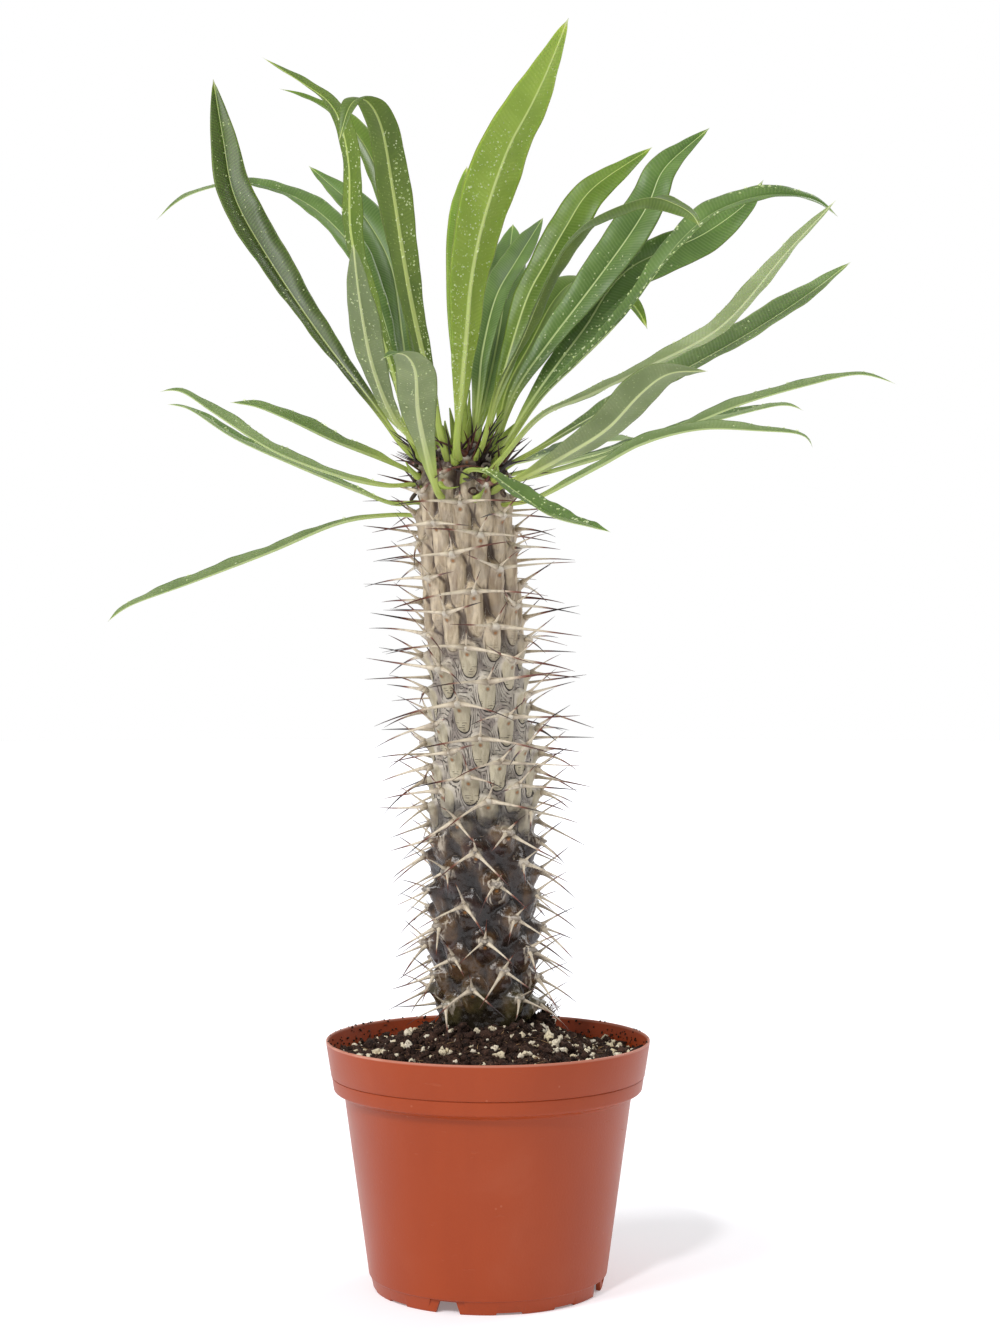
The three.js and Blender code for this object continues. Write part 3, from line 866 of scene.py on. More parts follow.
class LeafTone(Enum):
    """The kinds of leaf on the plant."""

    BACKLIT = LeafTint(
        (130, 152, 56), (106, 130, 44), (150, 168, 74), (132, 152, 58), (194, 206, 132), 0.45
    )
    FRESH = LeafTint(
        (108, 132, 48), (86, 110, 36), (108, 128, 44), (88, 110, 34), (180, 194, 112), 0.3
    )
    TEAL = LeafTint(
        (106, 134, 66), (82, 108, 52), (130, 148, 92), (106, 128, 70), (190, 204, 142), 0.2
    )
    MOSS = LeafTint((96, 117, 50), (74, 94, 37), (97, 115, 45), (79, 97, 35), (176, 188, 112), 0.26)
    OLIVE = LeafTint(
        (82, 98, 42), (60, 76, 30), (106, 120, 58), (84, 100, 42), (172, 184, 116), 0.22
    )
    GREY = LeafTint(
        (110, 132, 76), (84, 106, 58), (134, 145, 103), (112, 125, 82), (196, 204, 148), 0.2
    )
    PALE = LeafTint(
        (122, 140, 90), (94, 114, 68), (166, 178, 130), (142, 156, 104), (208, 216, 166), 0.25
    )


@dataclass(frozen=True)
class LeafSkin:
    """Leaf surface: glossy above, matt below, with side veins, a pale midrib and a gold stalk.

    The mesh stores `blade`, a vector of millimetres along, millimetres across and 1 on the
    underside, and `outline`, a vector of the share along, the share across and the half width in
    millimetres.
    """

    name: str
    tint: LeafTint
    stalk: Colour = srgb(168, 184, 88)
    margin: Colour = srgb(70, 78, 44)
    vein_pitch: float = 2.0
    vein_slant: float = 0.42
    stalk_end: tuple = (18.0, 60.0)

    def build(self, effects: Effects) -> bpy.types.Material:
        """Makes the material."""
        tint = self.tint
        upper, upper_deep, under_plain, under_deep, rib = [
            srgb(*colour) for colour in (
                tint.upper, tint.upper_deep, tint.under, tint.under_deep, tint.rib
            )
        ]
        skin = Surface(
            "leaf_" + self.name, effects, Subsurface_Weight=tint.glow,
            Subsurface_Radius=(0.7, 1.0, 0.25),
            Subsurface_Scale=0.0012, Specular_IOR_Level=0.32,
        )
        along, across, under = skin.parts("blade")
        share, edge, _ = skin.parts("outline")
        place = skin.place()
        aside = skin.math("ABSOLUTE", across)
        vein = self.veins(skin, place, along, aside)
        long_way = skin.wire("CombineXYZ", {0: along * 0.05, 1: across, 2: under})
        strand = skin.mottle(long_way, 0.5, 0.3, 0.75)
        cloud = skin.mottle(place, 38.0, 0.35, 0.7)

        rib_top = skin.step(share, 0.0, 1.0, 0.95, 0.3)
        rib_back = skin.step(share, 0.0, 1.0, 1.7, 0.5)
        line = skin.step(aside, rib_top, rib_top * 0.45)
        ridge = skin.step(aside, rib_back * 1.15, rib_back * 0.7)
        top = skin.coats(
            upper_deep, (cloud * 0.7, upper), (strand * 0.25, upper_deep), (vein * 0.08, rib),
            (line * 0.8, rib)
        )
        back = skin.coats(
            under_deep, (cloud, under_plain), (vein * 0.4, under_deep),
            (skin.specks(place, 700.0, 0.3) * 0.3, rib), (ridge * 0.85, rib),
        )
        rim = skin.step(skin.math("ABSOLUTE", edge), 0.93, 0.995)
        stalk = (1.0 - skin.step(along, *self.stalk_end)) * 0.85
        skin.colour(skin.coats(top, (under, back), (rim * 0.55, self.margin), (stalk, self.stalk)))
        skin.rough(0.34 + under * 0.2 + cloud * 0.08)
        fine = skin.grain(place, 1300.0, 2.0) * 0.35
        skin.emboss(fine * 0.3 - vein * 0.4 - line, 0.00004)
        return skin.material

    def veins(self, skin: Surface, place: Wire, along: Wire, aside: Wire) -> Wire:
        """Thin lines that leave the midrib and slant towards the tip."""
        drift = (skin.grain(place, 120.0, 1.0) - 0.5) * 1.6
        slant = along - aside * self.vein_slant
        wave = skin.math("PINGPONG", slant + drift, self.vein_pitch / 2)
        return skin.step(wave, 0.7, 0.1) * skin.step(aside, 0.6, 2.0)


@dataclass(frozen=True)
class Water:
    """Clear water beads, whose pale colour is painted light from the sky, with some of the leaf
    below showing through.

    A faint light of their own makes up for the shade that a bead's own shell throws.
    """

    # Painted highlight: the pale colours make each bead lighter than the leaf under it.
    pale: Colour = srgb(232, 240, 200)
    green: Colour = srgb(198, 216, 140)
    light: Colour = (0.9, 1.0, 0.55, 1.0)

    def build(self) -> bpy.types.Material:
        """Makes the material."""
        skin = Surface(
            "water", Roughness=0.05, IOR=1.33, Specular_IOR_Level=1.0, Alpha=0.4,
            Emission_Color=self.light, Emission_Strength=0.2,
        )
        place = skin.place()
        skin.colour(
            skin.blend(skin.step(skin.grain(place, 160.0, 2.0), 0.35, 0.65), self.pale, self.green)
        )
        skin.emboss(skin.grain(place, 900.0, 1.0), 0.00002)
        return skin.material


@dataclass(frozen=True)
class CrownDebris:
    """Dried leaf bases and fluff between the leaves; each lump stores its own shade."""

    dark: Colour = srgb(30, 20, 16)
    brown: Colour = srgb(88, 62, 42)
    grey: Colour = srgb(168, 158, 146)

    def build(self, effects: Effects) -> bpy.types.Material:
        """Makes the material."""
        skin = Surface("crown_debris", effects, Roughness=0.85)
        place = skin.place()
        colour = skin.blend(skin.mottle(place, 500.0, 0.35, 0.7), self.dark, self.brown)
        skin.colour(skin.blend(skin.step(skin.value("shade"), 0.82, 0.92), colour, self.grey))
        skin.emboss(skin.grain(place, 1400.0, 4.0), 0.0006)
        return skin.material


# ---------- studio ----------


@dataclass
class Studio:
    """Pale floor, soft light and the camera."""

    camera_place: tuple = (6.3 * MM, -1220 * MM, 324.7 * MM)
    focal_length: float = 62.64
    sensor: float = 36.0
    floor_radius: float = 9.0
    sky: float = 1.0
    fill: float = 0.46

    def build(self) -> None:
        """Makes the floor, the lights and the camera."""
        self.build_camera()
        self.build_floor()
        self.build_sky()
        self.sun("key", (-0.75, -0.6, 0.85), 1.6, 24.0)
        self.sun("glint", (-0.35, -0.9, 0.9), 0.9, 5.0)
        self.sun("back", (0.7, 0.6, 0.65), 1.3, 40.0)
        bpy.context.scene.view_settings.view_transform = "Standard"

    def build_camera(self) -> None:
        """Makes the camera, which looks level along +Y."""
        lens = bpy.data.cameras.new("camera")
        lens.lens = self.focal_length
        lens.sensor_width = self.sensor
        camera = bpy.data.objects.new("camera", lens)
        camera.location = self.camera_place
        camera.rotation_euler = (math.pi / 2, 0.0, 0.0)
        bpy.context.scene.collection.objects.link(camera)
        bpy.context.scene.camera = camera

    def build_floor(self) -> None:
        """Makes a round pale floor at the foot of the pot."""
        clear_selection()
        bpy.ops.mesh.primitive_circle_add(vertices=128, radius=self.floor_radius, fill_type="NGON")
        floor = bpy.context.object
        floor.name = "floor"
        constants = {"Base_Color": srgb(246, 246, 250), "Roughness": 0.9}
        constants.update(Emission_Color=(0.97, 0.98, 1.0, 1.0), Emission_Strength=0.2)
        floor.data.materials.append(Surface("pale_floor", **constants).material)

    def build_sky(self) -> None:
        """Makes an even white surrounding that lights less than it shows."""
        world = bpy.data.worlds.new("sky")
        world.use_nodes = True
        bpy.context.scene.world = world
        graph = Graph(world.node_tree)
        shown = world.node_tree.nodes["Background"]
        shown.inputs["Color"].default_value = (1.0, 1.0, 1.0, 1.0)
        shown.inputs["Strength"].default_value = self.sky
        lit = graph.wire("Background", {"Color": (1.0, 1.0, 1.0, 1.0), "Strength": self.fill})
        seen = graph.wire("LightPath", {}, "Is Camera Ray")
        choice = graph.wire("MixShader", {0: seen, 1: lit, 2: Wire(graph, shown.outputs[0])})
        graph.put(choice, world.node_tree.nodes["World Output"].inputs["Surface"])

    def sun(self, name: str, source: tuple, power: float, spread: float) -> None:
        """Makes one wide lamp far away in that direction, so that the whole floor is lit alike."""
        lamp = bpy.data.lights.new(name, "SUN")
        lamp.energy = power
        lamp.angle = math.radians(spread)
        light = bpy.data.objects.new(name, lamp)
        light.rotation_euler = Vector(source).to_track_quat("Z", "Y").to_euler()
        bpy.context.scene.collection.objects.link(light)


# ---------- pot ----------


@dataclass
class Pot:
    """Round tapered nursery pot with a collar, a foot ring with notches, and drain holes."""

    rim_radius: float = 85.0
    height: float = 129.4
    wall: float = 1.3
    lip: float = 0.5
    collar_inset: float = 4.0
    collar_foot: float = 104.5
    collar_round: float = 1.6
    collar_underside: float = 2.6
    seam_inset: float = 2.7
    seam_height: float = 110.8
    seam_step: float = 0.4
    body_top_radius: float = 75.3
    body_top: float = 101.0
    body_foot_radius: float = 61.7
    foot_height: float = 7.0
    foot_radius: float = 60.2
    foot_wall: float = 2.6
    base: float = 1.5
    fillet: float = 1.2
    drain_radius: float = 4.0
    drain_circle: float = 45.0
    drain_count: int = 8
    segments: int = 192
    notch_count: int = 12
    first_notch: float = 10.6
    # Notches and panels: width at the floor, width at the top, and height.
    deep_notch: tuple = (14.0, 9.0, 6.0)
    shallow_notch: tuple = (14.0, 13.0, 1.2)
    panel: tuple = (23.0, 18.0, 7.0)
    panel_depth: float = 0.7

    def outline(self) -> list[tuple[float, float]]:
        """The wall's section as radius and height, from the base's middle round to the inside."""
        seam = self.rim_radius - self.seam_inset
        collar = self.rim_radius - self.collar_inset
        floor = self.foot_height + self.base
        lip_middle = (self.rim_radius - self.wall / 2, self.height - self.wall / 2)
        points = [
            (0.0, self.foot_height),
            (self.foot_radius - self.foot_wall + self.lip, self.foot_height),
            (self.foot_radius - self.foot_wall, 0.4),
            (self.foot_radius - self.foot_wall + 0.4, 0.0),
            (self.foot_radius - 0.5, 0.0),
            (self.foot_radius, 0.5),
            (self.body_foot_radius, self.foot_height),
        ]
        points += self.arc((self.body_foot_radius - 0.1, self.foot_height + 1.0), 1.0, -60, -4, 3)
        points += [
            (self.body_top_radius, self.body_top - 1.0),
            (self.body_top_radius + 0.5, self.body_top - 0.1),
            (collar - 2.2 * self.collar_round, self.collar_foot - self.collar_underside - 0.1),
        ]
        middle = (collar - self.collar_round, self.collar_foot)
        points += self.arc(middle, self.collar_round, -80, 0, 5)
        points += [
            (seam - self.seam_step, self.seam_height - 0.5),
            (seam - self.seam_step - 0.35, self.seam_height - 0.25),
            (seam - self.seam_step - 0.3, self.seam_height),
            (seam, self.seam_height + 0.25),
            (self.rim_radius - 0.15, self.height - 2.2),
        ]
        points += self.arc(lip_middle, self.wall / 2, 0, 180, 7)
        points += [
            (seam - self.wall, self.seam_height),
            (collar - self.wall, self.collar_foot + self.lip),
            (collar - self.wall - self.fillet, self.collar_foot - self.fillet),
            (self.body_top_radius - self.wall, self.body_top + self.lip),
            (self.body_foot_radius - self.wall, floor + self.fillet),
            (self.body_foot_radius - self.wall - self.fillet, floor),
            (0.0, floor),
        ]
        return points

    def arc(self, middle: tuple, radius: float, start: float, end: float, steps: int) -> list:
        """Points on a round stretch between two angles, in degrees above the outward way."""
        angles = [math.radians(start + (end - start) * i / steps) for i in range(steps + 1)]
        return [
            (middle[0] + radius * math.cos(a), middle[1] + radius * math.sin(a)) for a in angles
        ]

    def build(self, material: bpy.types.Material) -> None:
        """Makes the pot."""
        points = [(radius * MM, 0.0, height * MM) for radius, height in self.outline()]
        mesh = bpy.data.meshes.new("pot")
        mesh.from_pydata(points, [(i, i + 1) for i in range(len(points) - 1)], [])
        pot = new_piece("nursery_pot", mesh)
        activate(pot)
        bpy.ops.object.mode_set(mode="EDIT")
        bpy.ops.mesh.select_all(action="SELECT")
        bpy.ops.mesh.spin(steps=self.segments, angle=TURN, center=(0, 0, 0), axis=(0, 0, 1))
        bpy.ops.mesh.select_all(action="SELECT")
        bpy.ops.mesh.remove_doubles(threshold=0.02 * MM)
        bpy.ops.mesh.normals_make_consistent(inside=False)
        bpy.ops.object.mode_set(mode="OBJECT")
        for cutter in self.notch_cutters() + self.drain_cutters():
            self.cut(pot, cutter)
        bevel = pot.modifiers.new("edges", "BEVEL")
        bevel.width = 0.22 * MM
        bevel.segments = 2
        bevel.limit_method = "ANGLE"
        bevel.angle_limit = math.radians(50)
        activate(pot)
        bpy.ops.object.modifier_apply(modifier=bevel.name)
        bpy.ops.object.shade_smooth_by_angle(angle=math.radians(32))
        hand_over(pot, material, "pot", "pot")

    def cut(self, pot: bpy.types.Object, cutter: bpy.types.Object) -> None:
        """Cuts one helper body out of the pot."""
        boolean = pot.modifiers.new("cut", "BOOLEAN")
        boolean.object = cutter
        boolean.operation = "DIFFERENCE"
        boolean.solver = "EXACT"
        activate(pot)
        bpy.ops.object.modifier_apply(modifier=boolean.name)
        discard(cutter)

    def slab(self, shape: tuple, near: float, far: float, angle: float) -> bpy.types.Object:
        """A body that is wider at the floor, cut through the foot ring at that angle."""
        bottom, top, height = shape
        drop = 1.0
        clear_selection()
        bpy.ops.mesh.primitive_cube_add(size=1.0)
        body = bpy.context.object
        points = coordinates(body.data)
        upper = points[:, 2] > 0
        half = np.where(upper, top, bottom) / 2
        shaped = np.column_stack([
            np.sign(points[:, 0]) * half,
            np.where(points[:, 1] < 0, -far, -near),
            np.where(upper, height, -drop),
        ])
        turn = math.radians(angle)
        spun = np.column_stack([
            shaped[:, 0] * math.cos(turn) - shaped[:, 1] * math.sin(turn),
            shaped[:, 0] * math.sin(turn) + shaped[:, 1] * math.cos(turn),
            shaped[:, 2],
        ])
        move_to(body.data, spun * MM)
        return body

    def notch_cutters(self) -> list[bpy.types.Object]:
        """Bodies for the notches and for the flat panels round the deep ones."""
        inside, outside = self.foot_radius - self.foot_wall - 3.0, self.body_foot_radius + 3.0
        chord = math.sqrt(self.foot_radius**2 - (self.panel[0] / 2) ** 2)
        flat = chord + self.body_foot_radius - self.foot_radius - self.panel_depth
        cutters = []
        for i in range(self.notch_count):
            angle = self.first_notch + i * 360 / self.notch_count
            if i % 3 == 2:
                cutters.append(self.slab(self.deep_notch, inside, outside, angle))
                cutters.append(self.slab(self.panel, flat, outside, angle))
            else:
                cutters.append(self.slab(self.shallow_notch, inside, outside, angle))
        return cutters

    def drain_cutters(self) -> list[bpy.types.Object]:
        """Round bodies for the drain holes."""
        cutters = []
        for i in range(self.drain_count):
            angle = i * TURN / self.drain_count
            place = (self.drain_circle * math.sin(angle), -self.drain_circle * math.cos(angle))
            clear_selection()
            bpy.ops.mesh.primitive_cylinder_add(
                vertices=32, radius=self.drain_radius * MM, depth=6 * MM,
                location=(place[0] * MM, place[1] * MM, (self.foot_height + 0.7) * MM),
            )
            cutters.append(bpy.context.object)
        return cutters

    def inner_radius(self, height: float) -> float:
        """The inside radius of the rim part at a height, in millimetres."""
        share = (height - self.seam_height) / (self.height - self.seam_height)
        return self.rim_radius - self.wall - self.seam_inset * (1 - share)


# ---------- soil ----------


@dataclass
class SoilBed:
    """Peat bed with crumbs, perlite grains and strands."""

    pot: Pot
    level: float = 119.5
    mound: float = 24.0
    mound_radius: float = 72.0
    gap: float = 0.35
    # The clod beside the trunk: its x, its y, how wide it spreads and how high it rises.
    clod: tuple = (31.0, 4.0, 7.0, 7.0)
    crumbs: int = 5200
    clod_crumbs: int = 110
    wall_crumbs: int = 320
    fine_grains: int = 640
    strands: int = 420
    tuft: int = 60
    rings: int = 96
    columns: int = 300
    trunk_axis: float = -2.4
    trunk_radius: float = 23.5
    seed: int = 11

    def surface(self, x: np.ndarray, y: np.ndarray) -> np.ndarray:
        """Height of the soil at points in millimetres."""
        radius = np.hypot(x, y)
        share = np.minimum(radius / self.mound_radius, 1.0)
        height = self.level + self.mound * (1 + np.cos(math.pi * share)) / 2
        points = np.column_stack([x, y, np.zeros_like(x)])
        height += 1.5 * bumps(points, 26.0, 2, 3.0) + 1.5 * bumps(points, 5.0, 3, 9.0)
        clod_x, clod_y, spread, rise = self.clod
        away = ((x - clod_x) ** 2 + (y - clod_y) ** 2) / spread**2
        return height + 0.6 * rise * np.exp(-away)

    def build(
        self, peat: bpy.types.Material, perlite: bpy.types.Material, fibre: bpy.types.Material
    ) -> None:
        """Makes the bed and everything that lies on it."""
        random = np.random.default_rng(self.seed)
        self.build_bed(peat)
        self.build_crumbs(random, peat)
        self.build_wall_crumbs(random, peat)
        self.build_small_grains(random, perlite)
        self.build_large_grains(random, perlite)
        self.build_fibres(random, fibre)

    def build_bed(self, material: bpy.types.Material) -> None:
        """Makes the closed body of peat that fills the pot."""
        pot, gap = self.pot, self.gap
        floor = pot.foot_height + pot.base + gap
        foot = pot.body_foot_radius - pot.wall - gap
        collar = pot.rim_radius - pot.collar_inset - pot.wall - gap
        edge = pot.inner_radius(self.level) - gap
        side = [
            (0.0, floor), (foot - pot.fillet, floor), (foot, floor + pot.fillet),
            (pot.body_top_radius - pot.wall - gap, pot.body_top + 2 * gap),
            (collar - 2.0, pot.collar_foot), (collar - 0.5, pot.collar_foot + 1.5),
            (edge - 1.4, pot.seam_height),
        ]
        top = [(edge * (1 - i / self.rings) ** 0.9, self.level) for i in range(self.rings + 1)]
        profile = np.array(side + top)
        profile[-1, 0] = 0.0
        angles = np.arange(self.columns) * TURN / self.columns
        inner = profile[1:-1]
        x = inner[:, :1] * np.sin(angles)
        y = -inner[:, :1] * np.cos(angles)
        z = np.repeat(inner[:, 1:], self.columns, axis=1)
        on_top = len(side) - 1
        z[on_top:] = self.surface(x[on_top:].ravel(), y[on_top:].ravel()).reshape(x[on_top:].shape)
        rows, columns = x.shape
        vertices = np.column_stack([x.ravel(), y.ravel(), z.ravel()])
        poles = np.array([[0, 0, floor], [0, 0, float(self.surface(np.zeros(1), np.zeros(1))[0])]])
        vertices = np.vstack([vertices, poles]) * MM
        row, column = np.meshgrid(np.arange(rows - 1), np.arange(columns), indexing="ij")
        here, beside = row * columns + column, row * columns + (column + 1) % columns
        quads = np.column_stack(
            [v.ravel() for v in (here, beside, beside + columns, here + columns)]
        )
        mesh = bpy.data.meshes.new("soil")
        first, last = rows * columns, rows * columns + 1
        start = (rows - 1) * columns
        fans = [(first, (c + 1) % columns, c) for c in range(columns)]
        fans += [(start + c, start + (c + 1) % columns, last) for c in range(columns)]
        mesh.from_pydata(vertices.tolist(), [], quads.tolist() + fans)
        mesh.shade_smooth()
        bed = new_piece("peat_bed", mesh)
        shade = np.clip(0.35 + 0.4 * bumps(vertices / MM, 3.0, 2, 5.0), 0, 1)
        paint(mesh, "shade", shade)
        hand_over(bed, material, "soil", "soil")

    def scatter(self, random: np.random.Generator, count: int) -> tuple[np.ndarray, np.ndarray]:
        """Random places on the soil, clear of the trunk."""
        edge = self.pot.inner_radius(self.level) - 1.5
        radius = edge * np.sqrt(random.uniform(0.03, 1.0, 3 * count))
        angle = random.uniform(0, TURN, 3 * count)
        x, y = radius * np.sin(angle), -radius * np.cos(angle)
        clear = np.hypot(x - self.trunk_axis, y) > self.trunk_radius
        return x[clear][:count], y[clear][:count]

    def build_crumbs(self, random: np.random.Generator, material: bpy.types.Material) -> None:
        """Makes loose peat crumbs, with more of them on the clod beside the trunk."""
        x, y = self.scatter(random, self.crumbs)
        sizes = random.gamma(1.7, 0.55, len(x)) + 0.3
        clod_x, clod_y, spread, rise = self.clod
        near = random.normal(0, 0.55, (self.clod_crumbs, 3)) * spread
        heap_x, heap_y = clod_x + near[:, 0], clod_y + near[:, 1]
        lift = rise * np.exp(-(near[:, 0] ** 2 + near[:, 1] ** 2) / (0.5 * spread) ** 2)
        x, y = np.concatenate([x, heap_x]), np.concatenate([y, heap_y])
        sizes = np.concatenate([np.minimum(sizes, 3.2), random.uniform(0.6, 1.5, len(heap_x))])
        z = self.surface(x, y) + sizes * random.uniform(-0.2, 0.7, len(x))
        z[-len(heap_x):] += lift * random.uniform(0.2, 1.0, len(heap_x))
        shapes = [lump(random, 1, 1.1, 0.6) for _ in range(9)]
        shades = random.beta(1.3, 2.2, len(x))
        crumbs = strew("peat_crumbs", shapes, sizes, np.column_stack([x, y, z]), shades, random)
        hand_over(crumbs, material, "soil")

    def build_wall_crumbs(self, random: np.random.Generator, material: bpy.types.Material) -> None:
        """Makes crumbs that stick to the inside of the rim and lie on its edge."""
        count = self.wall_crumbs
        height = self.level + (self.pot.height - self.level) * random.beta(1.0, 1.6, count)
        angle = random.normal(math.pi, 1.3, count)
        radius = np.array([self.pot.inner_radius(z) for z in height])
        on_edge = random.random(count) < 0.12
        height[on_edge] = self.pot.height
        radius[on_edge] = self.pot.rim_radius - self.pot.wall / 2
        sizes = random.uniform(0.3, 0.75, count)
        radius -= 0.3 * sizes
        places = np.column_stack([radius * np.sin(angle), -radius * np.cos(angle), height])
        shapes = [lump(random, 1, 0.5) for _ in range(3)]
        crumbs = strew("wall_crumbs", shapes, sizes, places, random.beta(1.2, 2.5, count), random)
        hand_over(crumbs, material, "soil")

    def build_small_grains(self, random: np.random.Generator, material: bpy.types.Material) -> None:
        """Makes the fine perlite."""
        x, y = self.scatter(random, self.fine_grains)
        sizes = np.minimum(random.gamma(1.5, 0.5, len(x)) + 0.3, 2.6)
        z = self.surface(x, y) + sizes * random.uniform(0.1, 0.8, len(x))
        shapes = [lump(random, 2, 0.85, 0.8) for _ in range(8)]
        shades = random.beta(1.2, 1.6, len(x))
        grains = strew("perlite_fines", shapes, sizes, np.column_stack([x, y, z]), shades, random)
        hand_over(grains, material, "perlite")

    def build_large_grains(self, random: np.random.Generator, material: bpy.types.Material) -> None:
        """Makes the twelve large grains, each where its plain solid is."""
        for node in sorted(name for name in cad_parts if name.startswith("perlite_")):
            low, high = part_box(node)
            middle, half = (low + high) / 2, (high - low) / 2
            mesh = lump(random, 4, 0.8)
            points = coordinates(mesh)
            points *= 1 + 0.1 * bumps(points, 0.22, 2, random.uniform(0, 9))[:, None]
            points = points / np.abs(points).max(axis=0) * np.array(half) * 1.05 + np.array(middle)
            points[:, 2] -= 0.3 * MM
            move_to(mesh, points)
            paint(mesh, "shade", np.full(len(points), random.uniform(0, 0.5)))
            hand_over(
                new_piece(node.replace("perlite", "perlite_grain"), mesh), material, "perlite", node
            )

    def build_fibres(self, random: np.random.Generator, material: bpy.types.Material) -> None:
        """Makes thin strands on the soil and a tuft of them on the clod."""
        template = ringed_tube("strand", 4, [5])
        shape = coordinates(template.data)
        x, y = self.scatter(random, self.strands)
        tuft = self.tuft
        clod_x, clod_y, spread, rise = self.clod
        x = np.concatenate([x, clod_x + random.normal(0, 0.3 * spread, tuft)])
        y = np.concatenate([y, clod_y + random.normal(0, 0.3 * spread, tuft)])
        count = len(x)
        heading = random.uniform(0, TURN, count)
        pitch = np.abs(random.normal(0.12, 0.2, count))
        pitch[-tuft:] = random.uniform(0.2, 1.2, tuft)
        length = random.uniform(3.0, 12.0, count)
        thick = random.uniform(0.09, 0.24, count)
        ahead = np.column_stack(
            [np.cos(heading) * np.cos(pitch), np.sin(heading) * np.cos(pitch), np.sin(pitch)]
        )
        beside = np.column_stack([-np.sin(heading), np.cos(heading), np.zeros(count)])
        above = np.cross(ahead, beside)
        bend = random.normal(0, 0.25, count) * length
        along = shape[None, :, 2] - 0.5
        along = np.where(np.arange(count)[:, None] >= count - tuft, along + 0.5, along)
        curve = bend[:, None] * (0.25 - (shape[None, :, 2] - 0.5) ** 2)
        z = self.surface(x, y) + thick + 0.5
        z[-tuft:] += 0.5 * rise
        thin = thick[:, None] * (1 - 0.6 * shape[None, :, 2])
        points = np.column_stack([x, y, z])[:, None, :] + ahead[:, None, :] * (
            along * length[:, None]
        )[..., None]
        points += beside[:, None, :] * (curve + shape[None, :, 0] * thin)[..., None]
        points += above[:, None, :] * (shape[None, :, 1] * thin)[..., None]
        points[..., 2] = np.maximum(points[..., 2], self.level - 1.0)
        reach = np.hypot(points[..., 0], points[..., 1])
        limit = self.pot.inner_radius(self.level) - 0.5
        points[..., :2] *= np.minimum(1.0, limit / np.maximum(reach, 1e-6))[..., None]
        groups = {}
        for face in template.data.polygons:
            groups.setdefault(len(face.vertices), []).append(face.vertices[:])
        offset = (np.arange(count) * len(shape))[:, None, None]
        polygons = []
        for rows in groups.values():
            polygons += (np.array(rows)[None] + offset).reshape(-1, len(rows[0])).tolist()
        mesh = bpy.data.meshes.new("fibres")
        mesh.from_pydata((points.reshape(-1, 3) * MM).tolist(), [], polygons)
        mesh.shade_smooth()
        discard(template)
        paint(mesh, "shade", np.repeat(random.beta(0.8, 1.2, count), len(shape)))
        hand_over(new_piece("peat_strands", mesh), material, "soil")


# ---------- trunk ----------


